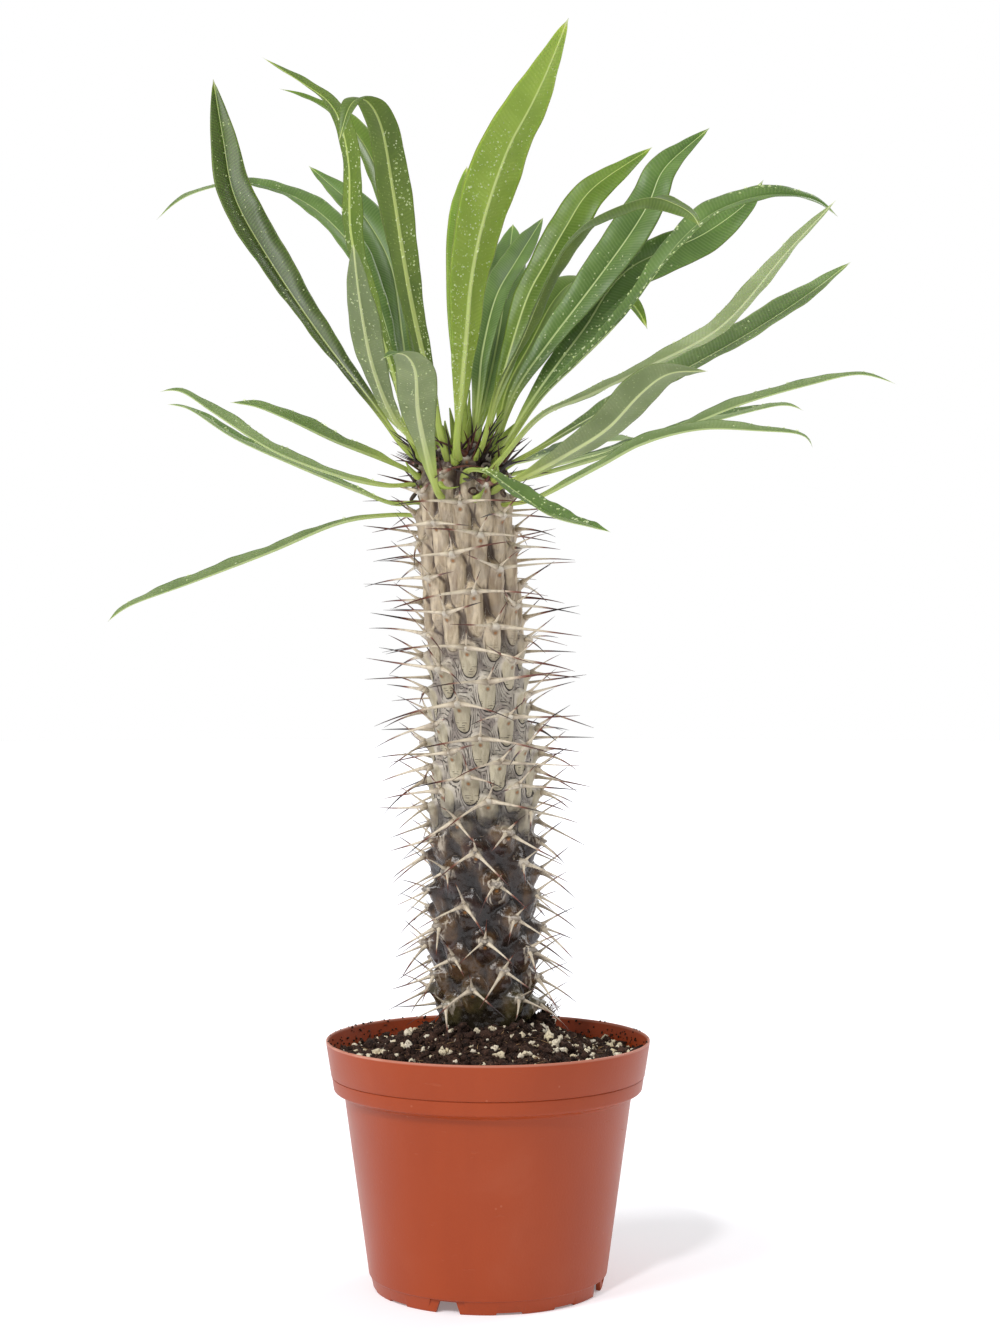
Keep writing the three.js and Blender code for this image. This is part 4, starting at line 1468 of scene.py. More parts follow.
@dataclass
class Trunk:
    """Spiny trunk: one skin with tubercles, and the spines of its areoles."""

    # Height, sideways place of the axis, and radius.
    rows: tuple = (
        (94, -2.4, 20), (108, -2.4, 22.4), (122, -2.4, 22.9), (143, -2.4, 25.5), (181, -1.9, 27.1),
        (228, -2.9, 27.6), (280, -2.6, 27.3), (328, -6.1, 25.5), (359, -8.7, 24.5),
        (395, -11.5, 23.7),
        (420, -13.6, 23.2), (430, -14, 21), (436, -14, 16), (440, -14, 8), (441, -14, 1),
    )
    # Number of an areole and its height.
    areole_rows: tuple = (
        (-34, 434), (-21, 409.3), (-8, 382.8), (0, 363.3), (34, 287.9), (55, 255.8),
        (76, 213.1), (89, 183.8), (102, 158.6), (118, 130),
    )
    first: int = -34
    last: int = 109
    phase: float = 3.4
    golden_angle: float = 137.5
    columns: int = 240
    ring_cuts: tuple = (18, 19)
    foot: float = 100.0
    # The three spines of an areole: how far sideways, outwards and up, and the length.
    high_spines: tuple = ((0.9, 0.42, 0.02, 40), (-0.9, 0.42, 0.02, 40), (0.1, 0.75, 0.6, 19))
    low_spines: tuple = ((0.72, 0.7, -0.42, 26), (-0.72, 0.7, -0.42, 26), (0.05, 0.85, 0.62, 20))
    spine_radius: float = 1.0
    spine_foot: float = 2.6
    crown_spines: int = 84
    crown_axis: float = -14.0
    rib_zone: tuple = (315, 352)
    foot_zone: tuple = (262, 236)
    shield_foot_zone: tuple = (266, 236)
    inset: float = 3.1
    lowest_tip: float = 136.0
    seed: int = 23

    def axis(self, z: np.ndarray) -> np.ndarray:
        """Sideways place of the trunk's axis at a height."""
        return np.interp(z, [row[0] for row in self.rows], [row[1] for row in self.rows])

    def radius(self, z: np.ndarray) -> np.ndarray:
        """Plain radius of the trunk at a height."""
        return np.interp(z, [row[0] for row in self.rows], [row[2] for row in self.rows])

    def areoles(self) -> tuple[np.ndarray, np.ndarray]:
        """Turn in degrees and height of each areole."""
        number = np.arange(self.first, self.last + 1)
        turn = np.mod(self.phase + number * self.golden_angle, 360)
        rows = self.areole_rows
        return turn, np.interp(number, [row[0] for row in rows], [row[1] for row in rows])

    def build(self, bark: bpy.types.Material, horn: bpy.types.Material) -> None:
        """Makes the skin and the spines."""
        self.build_skin(bark)
        self.build_spines(horn)

    def build_skin(self, material: bpy.types.Material) -> None:
        """Makes the bark from a ringed tube whose vertices follow the areoles."""
        skin = ringed_tube("trunk_skin", self.columns, self.ring_cuts)
        shape = coordinates(skin.data)
        turn = np.degrees(np.arctan2(shape[:, 0], -shape[:, 1]))
        centre = np.hypot(shape[:, 0], shape[:, 1]) < 0.5
        path = self.profile()
        radius = np.interp(shape[:, 2], path[:, 0], path[:, 1])
        z = np.interp(shape[:, 2], path[:, 0], path[:, 2])
        panel, seam, spot, height = self.relief(turn, z, np.maximum(radius, 4.0))
        plain = np.column_stack(
            [radius * np.sin(np.radians(turn)), -radius * np.cos(np.radians(turn)), z]
        )
        crinkled = 0.7 + 0.5 * smoothstep(z, *self.rib_zone)
        height += crinkled * bumps(
            plain * [1, 1, 0.45], 6.0, 3, 2.0
        ) + 0.2 * bumps(plain, 1.8, 2, 7.0)
        lumps = bumps(plain * [1, 1, 1.6], 9.0, 3, 4.0)
        low = smoothstep(z, *self.foot_zone)
        height += 0.9 * low * lumps
        height += 1.3 * smoothstep(z, 408, 424) * bumps(plain, 5.5, 3, 12.0)
        swell = np.clip(height / 5.0, 0.0, 1.2)
        height *= smoothstep(z, 440, 431) * smoothstep(z, 130, 142)
        radius = radius - self.inset * smoothstep(z, 438, 426) * smoothstep(z, 126, 140)
        radius = np.where(centre, 0.0, radius + height)
        turn = np.radians(turn)
        vertices = np.column_stack([
            radius * np.sin(turn) + self.axis(z), -radius * np.cos(turn), z
        ])
        move_to(skin.data, vertices * MM)
        paint(skin.data, "panel", panel)
        paint(skin.data, "seam", seam)
        paint(skin.data, "spot", spot)
        paint(skin.data, "swell", swell)
        skin.data.shade_smooth()
        hand_over(skin, material, "trunk", "trunk")

    def profile(self) -> np.ndarray:
        """Rows of share along the skin, radius and height, from the foot over the crown."""
        heights = [self.foot] + [row[0] for row in self.rows if row[0] > self.foot]
        points = np.array([(float(self.radius(z)), z) for z in heights])
        steps = np.hypot(*np.diff(points, axis=0).T)
        share = np.concatenate([[0.0], np.cumsum(steps)]) / steps.sum()
        return np.column_stack([share, points])

    def relief(self, turn: np.ndarray, z: np.ndarray, radius: np.ndarray) -> tuple:
        """How the skin stands out round its areoles.

        Args:
            turn: turn of each vertex in degrees.
            z: height of each vertex.
            radius: plain radius at each vertex.

        Returns:
            The distance outside the nearest shield, the gap to the next shield, the place relative
            to the nearest areole with a seed, and the height above the plain skin.
        """
        spot_turn, spot_z = self.areoles()
        seeds = np.random.default_rng(self.seed).random(len(spot_z))
        count = len(z)
        panel, seam, height = np.empty(count), np.empty(count), np.empty(count)
        spot = np.empty((count, 3))
        for start in range(0, count, 8000):
            rows = slice(start, start + 8000)
            away = np.mod(turn[rows, None] - spot_turn + 180, 360) - 180
            side = away * np.radians(1.0) * radius[rows, None]
            rise = z[rows, None] - spot_z
            value, bulge = self.shield(side, rise, z[rows, None])
            order = np.argpartition(value, 1, axis=1)[:, :2]
            pair = np.sort(np.take_along_axis(value, order, axis=1), axis=1)
            nearest = np.argmin(value, axis=1)
            pick = (np.arange(len(nearest)), nearest)
            panel[rows] = (pair[:, 0] - 1) * 6.5
            seam[rows] = pair[:, 1] - pair[:, 0]
            spot[rows] = np.column_stack([side[pick], rise[pick], seeds[nearest]])
            height[rows] = (bulge * (0.82 + 0.4 * seeds)).max(axis=1)
        return panel, seam, spot, height

    def shield(
        self, side: np.ndarray, rise: np.ndarray, z: np.ndarray
    ) -> tuple[np.ndarray, np.ndarray]:
        """The shield below an areole at points beside it.

        Args:
            side: millimetres beside the areole.
            rise: millimetres above the areole.
            z: height of the point on the trunk.

        Returns:
            A value that is 1 on the shield's outline and less inside, and the height of the bulge.
        """
        top = smoothstep(z, *self.rib_zone)
        low = smoothstep(z, *self.shield_foot_zone)
        half_width = 5.0 - 0.6 * top + 2.6 * low
        half_height = 8.6 + 5.4 * top + 0.2 * low
        drop = 6.9 + 5.2 * top - 1.5 * low
        lean = np.clip((rise + drop) / half_height, -1.0, 1.0)
        across = np.abs(side) / (half_width * (1 + 0.15 * lean))
        along = np.abs(rise + drop) / half_height
        value = (across**2.6 + along**2.6) ** (1 / 2.6)
        soft = np.maximum(0.3 * top, low)
        slope = (1 + 0.45 * lean * (1 - top)) * (1 - 0.75 * smoothstep(z, 410, 429))
        share = np.clip((1.3 + 0.45 * soft - value) / (0.45 + 0.8 * soft), 0, 1)
        plateau = share * share * (3 - 2 * share)
        rib = smoothstep(across, 1.4, 0.75) * smoothstep(along, 1.65, 0.6)
        plateau = (plateau + (rib - plateau) * top) * (1.2 + 1.7 * top + 0.6 * low) * slope
        dome = (1.2 + 0.2 * top + 0.4 * low) * np.clip(1 - value**2, 0, 1) * slope
        nub_side = np.abs(side) / (3.4 + 0.6 * low)
        nub_rise = np.abs(rise) / np.where(rise > 0, 3.3 + 0.9 * low, 4.8)
        nub = (5.2 - 0.4 * low) * np.exp(-1.3 * np.hypot(nub_side, nub_rise) ** 1.3)
        nub += 1.3 * np.exp(-((side / 4.6) ** 2) - ((rise - 0.5) / 1.8) ** 2)
        pit = 0.5 * np.exp(-((side / 1.2) ** 2 + ((rise + 3.7) / 1.1) ** 2))
        return value, plateau + dome + nub - pit

    def build_spines(self, material: bpy.types.Material) -> None:
        """Makes every areole's spines as copies of one tapered tube, each bent its own way."""
        random = np.random.default_rng(self.seed + 1)
        starts, aims, lengths, bands = self.spine_plan(random)
        count = len(starts)
        radii = self.spine_radius * random.uniform(0.9, 1.25, count) * np.clip(
            lengths / 24.0, 0.75, 1.1
        )
        radii *= np.where(bands < -0.1, 1.3, 1.0)
        bend = (random.normal(-0.08, 0.07, count), random.normal(0, 0.05, count))
        spines, share = bent_tubes(
            "spines", (6, [7]), (starts, aims, lengths), radii, self.spine_taper, bend
        )
        seeds = random.random(count)
        each = len(share) // count
        reach = np.column_stack([share, np.repeat(bands, each), np.repeat(seeds, each)])
        paint(spines.data, "reach", reach)
        hand_over(spines, material, "trunk")

    def spine_taper(self, share: np.ndarray) -> np.ndarray:
        """Share of a spine's radius: a wide foot, a slender body and a fine tip."""
        return 0.62 * (1 - share) ** 0.8 + np.exp(-share / 0.11) + 0.05

    def spine_plan(self, random: np.random.Generator) -> tuple:
        """Where the spines start and point, how long they are, and where their dark part starts."""
        starts, aims, lengths, bands = [], [], [], []
        for turn, z in zip(*self.areoles()):
            high = float(smoothstep(np.array(z), 225, 290))
            crown = float(smoothstep(np.array(z), 402, 436))
            angle = math.radians(turn)
            outward = np.array([math.sin(angle), -math.cos(angle), 0.0])
            sideways = np.array([math.cos(angle), math.sin(angle), 0.0])
            foot = float(self.radius(z)) + self.spine_foot
            for number in range(3):
                low_row, high_row = self.low_spines[number], self.high_spines[number]
                along, out, up, length = [a + (b - a) * high for a, b in zip(low_row, high_row)]
                up += 0.5 * crown + random.normal(0, 0.1)
                out += random.normal(0, 0.07)
                length *= (1 - 0.45 * crown) * random.uniform(0.8, 1.12)
                aim = unit(outward * out + sideways * along + np.array([0, 0, up]))
                lean = sideways * along * 0.7 + np.array([0.0, 0.0, up])
                start = outward * foot + np.array([float(self.axis(z)), 0.0, z]) + lean
                tip = start + aim * length
                tip[2] = max(tip[2], self.lowest_tip)
                starts.append(start)
                aims.append(unit(tip - start))
                lengths.append(float(np.linalg.norm(tip - start)))
                bands.append(0.4 + 0.1 * (1 - high) - 0.7 * crown + random.normal(0, 0.1))
        for _ in range(self.crown_spines):
            angle = random.uniform(0, TURN)
            away = random.uniform(9.0, 21.0)
            outward = np.array([math.sin(angle), -math.cos(angle), 0.0])
            z = random.uniform(430, 441) - 0.6 * max(0.0, away - 12)
            slant = 0.25 + 0.9 * (away / 20) ** 2
            aside = np.array([outward[1], -outward[0], 0.0]) * random.normal(0, 0.45)
            aim = unit(outward * slant * random.uniform(0.5, 1.3) + aside + np.array([0, 0, 0.8]))
            starts.append(outward * away + np.array([self.crown_axis, 0.0, z - 3.0]))
            aims.append(aim)
            lengths.append(random.uniform(13, 30))
            bands.append(random.uniform(-0.5, -0.12))
        return np.array(starts), np.array(aims), np.array(lengths), np.array(bands)


# ---------- leaves ----------


# Each leaf: full width, fold of its halves in degrees, roll at its base, middle and tip in degrees,
# its kind, and the route of its midrib in millimetres.
LEAVES = {
    "leaf_01": (32, 12, (0, 4, 8), LeafTone.BACKLIT,
        (-16, -31, 440), (-11, -46, 487), (-8, -54, 519), (-2, -62, 547), (10, -69, 581),
        (20, -73, 599), (29, -77, 617), (40, -82, 643)),
    "leaf_02": (22, 16, (0, 0, 0), LeafTone.BACKLIT,
        (-17, 14, 442), (-14, 34, 479), (-14, 60, 527), (-13, 92, 574), (-13, 126, 615)),
    "leaf_03": (26, 18, (0, 0, 0), LeafTone.TEAL,
        (-8, 19, 442), (0, 46, 478), (7, 80, 519), (11, 118, 556), (14, 150, 586)),
    "leaf_04": (18, 24, (0, 10, 20), LeafTone.TEAL,
        (-8, 0, 440), (-5, 14, 471), (-3, 26, 494), (4, 46, 526), (15, 72, 550), (31, 104, 581)),
    "leaf_05": (22, -14, (20, 45, 55), LeafTone.FRESH,
        (-2, 9, 443), (6, 16, 474), (20, 28, 521), (31, 34, 543), (43, 40, 565), (57, 46, 586),
        (90, 54, 610)),
    "leaf_06": (25, -18, (20, 28, 30), LeafTone.MOSS,
        (-2, -26, 441), (4, -36, 465), (17, -48, 491), (29, -60, 518), (39, -68, 535),
        (53, -78, 546),
        (78, -92, 553), (91, -100, 548), (99, -106, 542), (102, -110, 535)),
    "leaf_07": (24, 16, (30, 50, 45), LeafTone.TEAL,
        (4, 1, 442), (15, 8, 471), (33, 16, 498), (53, 24, 525), (75, 34, 556), (88, 42, 578),
        (96, 48, 597), (122, 60, 622)),
    "leaf_08": (26, -12, (40, 55, 50), LeafTone.TEAL,
        (9, -4, 440), (20, 2, 460), (35, 12, 483), (53, 22, 508), (63, 28, 525), (77, 36, 541),
        (96, 42, 551), (117, 50, 561), (141, 58, 579), (152, 64, 594)),
    "leaf_09": (22, 15, (14, 20, 42), LeafTone.TEAL,
        (8, -15, 437), (27, -18, 464), (46, -20, 482), (68, -21, 504), (90, -18, 533),
        (103, -14, 549),
        (120, -8, 563), (146, 2, 573), (172, 10, 573), (186, 14, 564)),
    "leaf_10": (20, 8, (-6, -8, -10), LeafTone.PALE,
        (6, -22, 431), (27, -32, 453), (50, -42, 462), (81, -52, 476), (117, -60, 495),
        (148, -66, 530),
        (173, -70, 556)),
    "leaf_11": (24, 18, (20, 30, 30), LeafTone.PALE,
        (11, 2, 431), (30, 10, 442), (61, 20, 461), (95, 32, 479), (140, 44, 505), (174, 54, 528),
        (200, 60, 548)),
    "leaf_12": (22, 16, (-10, -25, -20), LeafTone.GREY,
        (8, -18, 419), (24, -34, 424), (43, -52, 433), (60, -68, 443), (75, -86, 458),
        (88, -102, 466),
        (105, -118, 465)),
    "leaf_13": (18, 18, (0, 0, 0), LeafTone.TEAL,
        (9, 2, 421), (30, 4, 427), (60, 2, 435), (90, -4, 445), (131, -14, 461), (169, -24, 471),
        (192, -30, 475), (209, -34, 469)),
    "leaf_14": (20, 20, (0, 0, 0), LeafTone.TEAL,
        (8, 14, 426), (36, 36, 434), (75, 60, 446), (113, 82, 459), (149, 100, 470),
        (170, 110, 475),
        (181, 116, 472)),
    "leaf_15": (18, 20, (0, 0, 0), LeafTone.TEAL,
        (6, -10, 409), (25, -18, 412), (58, -28, 428), (80, -36, 439), (108, -46, 445),
        (137, -58, 443),
        (157, -68, 440), (161, -72, 433)),
    "leaf_16": (18, 20, (0, 0, 0), LeafTone.TEAL,
        (5, 22, 432), (23, 48, 438), (43, 86, 447), (64, 124, 455), (88, 160, 460)),
    "leaf_17": (18, 20, (0, 0, 0), LeafTone.TEAL,
        (-11, -30, 425), (-1, -52, 423), (15, -88, 409), (31, -122, 396), (49, -151, 389),
        (57, -160, 386)),
    "leaf_18": (24, 14, (0, 0, 0), LeafTone.FRESH,
        (4, 17, 444), (10, 40, 475), (23, 66, 503), (37, 92, 532), (51, 108, 546), (70, 126, 546),
        (86, 138, 535), (93, 144, 523)),
    "leaf_19": (23, 24, (-22, -33, -52), LeafTone.OLIVE,
        (-44, 4, 440), (-62, 14, 465), (-90, 30, 502), (-118, 48, 544), (-140, 62, 583),
        (-148, 74, 618), (-155, 84, 655)),
    "leaf_20": (19, 14, (-10, -20, -20), LeafTone.TEAL,
        (-41, 12, 443), (-48, 26, 476), (-59, 46, 519), (-76, 70, 558), (-106, 96, 589),
        (-143, 116, 603), (-177, 132, 599), (-195, 138, 586)),
    "leaf_21": (22, 8, (0, 0, -10), LeafTone.FRESH,
        (-39, -14, 438), (-47, -26, 471), (-58, -36, 505), (-69, -42, 542), (-70, -48, 580),
        (-77, -52, 606), (-93, -55, 618), (-113, -58, 630)),
    "leaf_22": (17, 10, (0, -8, -8), LeafTone.GREY,
        (-38, -30, 441), (-48, -50, 451), (-56, -80, 471), (-60, -112, 495), (-62, -142, 521)),
    "leaf_23": (20, 8, (0, 0, 0), LeafTone.GREY,
        (-26, -28, 415), (-31, -52, 433), (-34, -82, 450), (-34, -112, 465), (-37, -132, 470),
        (-42, -146, 470), (-48, -154, 466)),
    "leaf_24": (20, 20, (0, 0, 0), LeafTone.TEAL,
        (-40, -4, 427), (-56, -12, 433), (-79, -24, 441), (-100, -38, 450), (-117, -50, 456),
        (-129, -58, 457)),
    "leaf_25": (18, 20, (0, 0, 0), LeafTone.TEAL,
        (-38, -8, 420), (-53, -14, 419), (-76, -22, 423), (-109, -32, 435), (-138, -42, 453),
        (-155, -48, 464), (-165, -52, 463)),
    "leaf_26": (18, 20, (0, 0, 0), LeafTone.TEAL,
        (-37, 4, 412), (-49, 10, 411), (-68, 18, 418), (-101, 30, 432), (-138, 42, 449),
        (-164, 52, 466), (-177, 58, 469)),
    "leaf_27": (18, 20, (0, 0, 0), LeafTone.TEAL,
        (-36, 0, 404), (-51, 4, 405), (-79, 10, 401), (-117, 22, 386), (-161, 34, 370),
        (-196, 46, 358),
        (-209, 52, 349)),
    "leaf_28": (19, 8, (0, 0, 0), LeafTone.MOSS,
        (-23, -25, 439), (-29, -36, 467), (-36, -46, 497), (-41, -54, 523), (-47, -64, 562),
        (-52, -74, 591), (-59, -86, 602), (-66, -98, 597), (-71, -106, 577)),
    "leaf_29": (24, 14, (-10, -15, -15), LeafTone.TEAL,
        (-33, 21, 443), (-42, 42, 469), (-48, 66, 508), (-55, 84, 550), (-72, 100, 582),
        (-89, 116, 600), (-105, 130, 616)),
    "leaf_30": (20, 16, (0, -10, -10), LeafTone.FRESH,
        (-30, 6, 441), (-38, 28, 487), (-46, 48, 536), (-56, 66, 583), (-69, 80, 616),
        (-84, 90, 635),
        (-105, 100, 649), (-120, 106, 655)),
}


@dataclass
class Leaf:
    """One leaf on its route."""

    name: str
    width: float
    fold: float
    rolls: Sequence[float]
    points: Sequence[Sequence[float]]
    trunk: Trunk
    seed: int
    stations: int = 96
    petiole_share: float = 0.1
    petiole_half: float = 2.0

    def route(self) -> tuple[np.ndarray, np.ndarray, float]:
        """Even points along the midrib, the directions there, and its length."""
        points = np.array(self.points, float)
        z = points[0, 2]
        axis = float(self.trunk.axis(z))
        heart = np.array([axis, 0.0, z - 6.0 - 0.45 * max(0.0, z - 400)])
        root = heart + (points[0] - heart) * 0.62
        knots = np.vstack([root, points])
        knots = np.vstack([2 * knots[0] - knots[1], knots, 2 * knots[-1] - knots[-2]])
        t = np.linspace(0, 1, 40, endpoint=False)[:, None]
        dense = []
        for i in range(1, len(knots) - 2):
            before, start, end, after = knots[i - 1:i + 3]
            leave, arrive = (end - before) / 2, (after - start) / 2
            cube = 2 * start - 2 * end + leave + arrive
            square = -3 * start + 3 * end - 2 * leave - arrive
            dense.append(cube * t**3 + square * t**2 + leave * t + start)
        dense = np.vstack(dense + [knots[-2:-1]])
        steps = np.linalg.norm(np.diff(dense, axis=0), axis=1)
        walked = np.concatenate([[0.0], np.cumsum(steps)])
        length = float(walked[-1])
        even = np.linspace(0, length, self.stations + 1)
        centre = np.column_stack([np.interp(even, walked, dense[:, k]) for k in range(3)])
        for _ in range(6):
            centre[1:-1] = 0.25 * centre[:-2] + 0.5 * centre[1:-1] + 0.25 * centre[2:]
        return centre, unit(np.gradient(centre, axis=0)), length

    def build_mesh(self, template: bpy.types.Mesh) -> bpy.types.Object:
        """Shapes a copy of the ringed tube into the leaf.

        Args:
            template: a tube of radius 1 and height 1.

        Returns:
            The leaf's object.
        """
        mesh = template.copy()
        shape = coordinates(mesh)
        u = np.clip(shape[:, 2], 0.0, 1.0)
        centre_fan = np.hypot(shape[:, 0], shape[:, 1]) < 0.5
        angle = np.arctan2(shape[:, 1], shape[:, 0])
        quarter = 1 - 2 * np.abs(angle) / math.pi
        across = -np.sign(quarter) * np.abs(quarter) ** 1.35
        across = np.where(centre_fan, 0.0, across)
        over = np.where(centre_fan, 0.0, np.sign(np.round(np.sin(angle), 6)))
        vertices, blade, outline = self.place_points(u, across, over)
        move_to(mesh, vertices * MM)
        paint(mesh, "blade", blade)
        paint(mesh, "outline", outline)
        mesh.shade_smooth()
        return new_piece(self.name, mesh)

    def place_points(self, u: np.ndarray, across: np.ndarray, over: np.ndarray) -> tuple:
        """Places points of the leaf's surface.

        Args:
            u: share along the leaf.
            across: share across it, from -1 to 1.
            over: 1 on the upper face, -1 on the underside and 0 on the edge.

        Returns:
            Places in millimetres and the two vectors that the material reads.
        """
        centre_row, tangent_row, length = self.route()
        even = np.linspace(0, 1, len(centre_row))
        centre = np.column_stack([np.interp(u, even, centre_row[:, k]) for k in range(3)])
        tangent = unit(np.column_stack([np.interp(u, even, tangent_row[:, k]) for k in range(3)]))
        tip = self.points[-1]
        outward = np.array([tip[0] - float(self.trunk.axis(self.points[0][2])), tip[1], 0.0])
        outward /= np.linalg.norm(outward)
        level = np.array([-outward[1], outward[0], 0.0])
        side = unit(level - (tangent @ level)[:, None] * tangent)
        ripple = np.random.default_rng(self.seed)
        phase = ripple.uniform(0, TURN, 6)
        roll = np.interp(
            u, [0.0, 0.5, 1.0], self.rolls
        ) + 3.0 * np.sin(TURN * 1.3 * u + phase[0]) * u
        turn = np.radians(roll)[:, None]
        side = side * np.cos(turn) + np.cross(tangent, side) * np.sin(turn)
        face = np.cross(tangent, side)

        t = np.maximum(0.0, (u - self.petiole_share) / (1 - self.petiole_share))
        share = t**0.8 * (1 - t**3.4) / 0.55
        uneven = 1 + 0.035 * np.sin(TURN * (2.3 * u) + phase[1]) * np.sin(math.pi * u)
        stem = self.petiole_half * (1 - u) + 0.9 * np.exp(-u / 0.05)
        half = np.hypot(self.width / 2 * share * uneven, stem) * smoothstep(u, 1.0, 0.985)
        half = np.maximum(half, 0.06)
        flat = smoothstep(u, 0.02, 0.3)
        aside = np.abs(across)
        fold = math.radians(self.fold)
        wing = aside * half
        left = across < 0
        wave = np.where(
            left, np.sin(TURN * length * u / 46 + phase[2]),
            np.sin(TURN * length * u / 39 + phase[3])
        )
        small = np.where(
            left, np.sin(TURN * length * u / 17 + phase[4]),
            np.sin(TURN * length * u / 15 + phase[5])
        )
        wave = (0.5 * wave + 0.16 * small) * aside**2 * flat * np.minimum(1.0, half / 6)
        cup = 0.075 * half * np.sin(math.pi * aside) * flat
        lift = math.sin(fold) * wing * flat + wave + cup * (1 if self.fold >= 0 else -1)
        soften = 0.9 * (1 - np.exp(-wing / 1.2)) * math.sin(abs(fold)) * flat
        lift = lift - math.copysign(1.0, fold) * soften * 0.5
        spread = across * half * np.cos(fold * flat)

        rib = mixed(1.5, 0.45, u)
        ridge = mixed(1.15, 0.25, u) * np.exp(-((wing / rib) ** 2) * 1.2)
        body = mixed(0.5, 0.28, u) * np.sqrt(np.clip(1 - aside**6, 0, 1))
        stalk = 1.5 * np.sqrt(np.clip(1 - aside**2, 0, 1))
        channel = 0.55 * np.exp(-((wing / 0.9) ** 2)) * smoothstep(u, 0.0, 0.08)
        under = mixed(stalk, 0.5 * body + ridge, flat)
        groove = 0.22 * np.exp(-((wing / 0.7) ** 2))
        upper = mixed(stalk * 0.75 - channel, 0.5 * body - groove, flat)
        shrink = smoothstep(u, 1.0, 0.94)
        height = lift + np.where(over > 0, upper, -under) * np.abs(over) * shrink
        places = centre + side * spread[:, None] + face * height[:, None]
        blade = np.column_stack([length * u, across * half, (over <= 0).astype(float)])
        return places, blade, np.column_stack([u, across, half])


@dataclass(frozen=True)
class DropRegion:
    """Where water beads sit on one leaf: face, range along and across, number and radii."""

    leaf: str
    over: int
    along: tuple
    across: tuple
    count: int
    radii: tuple


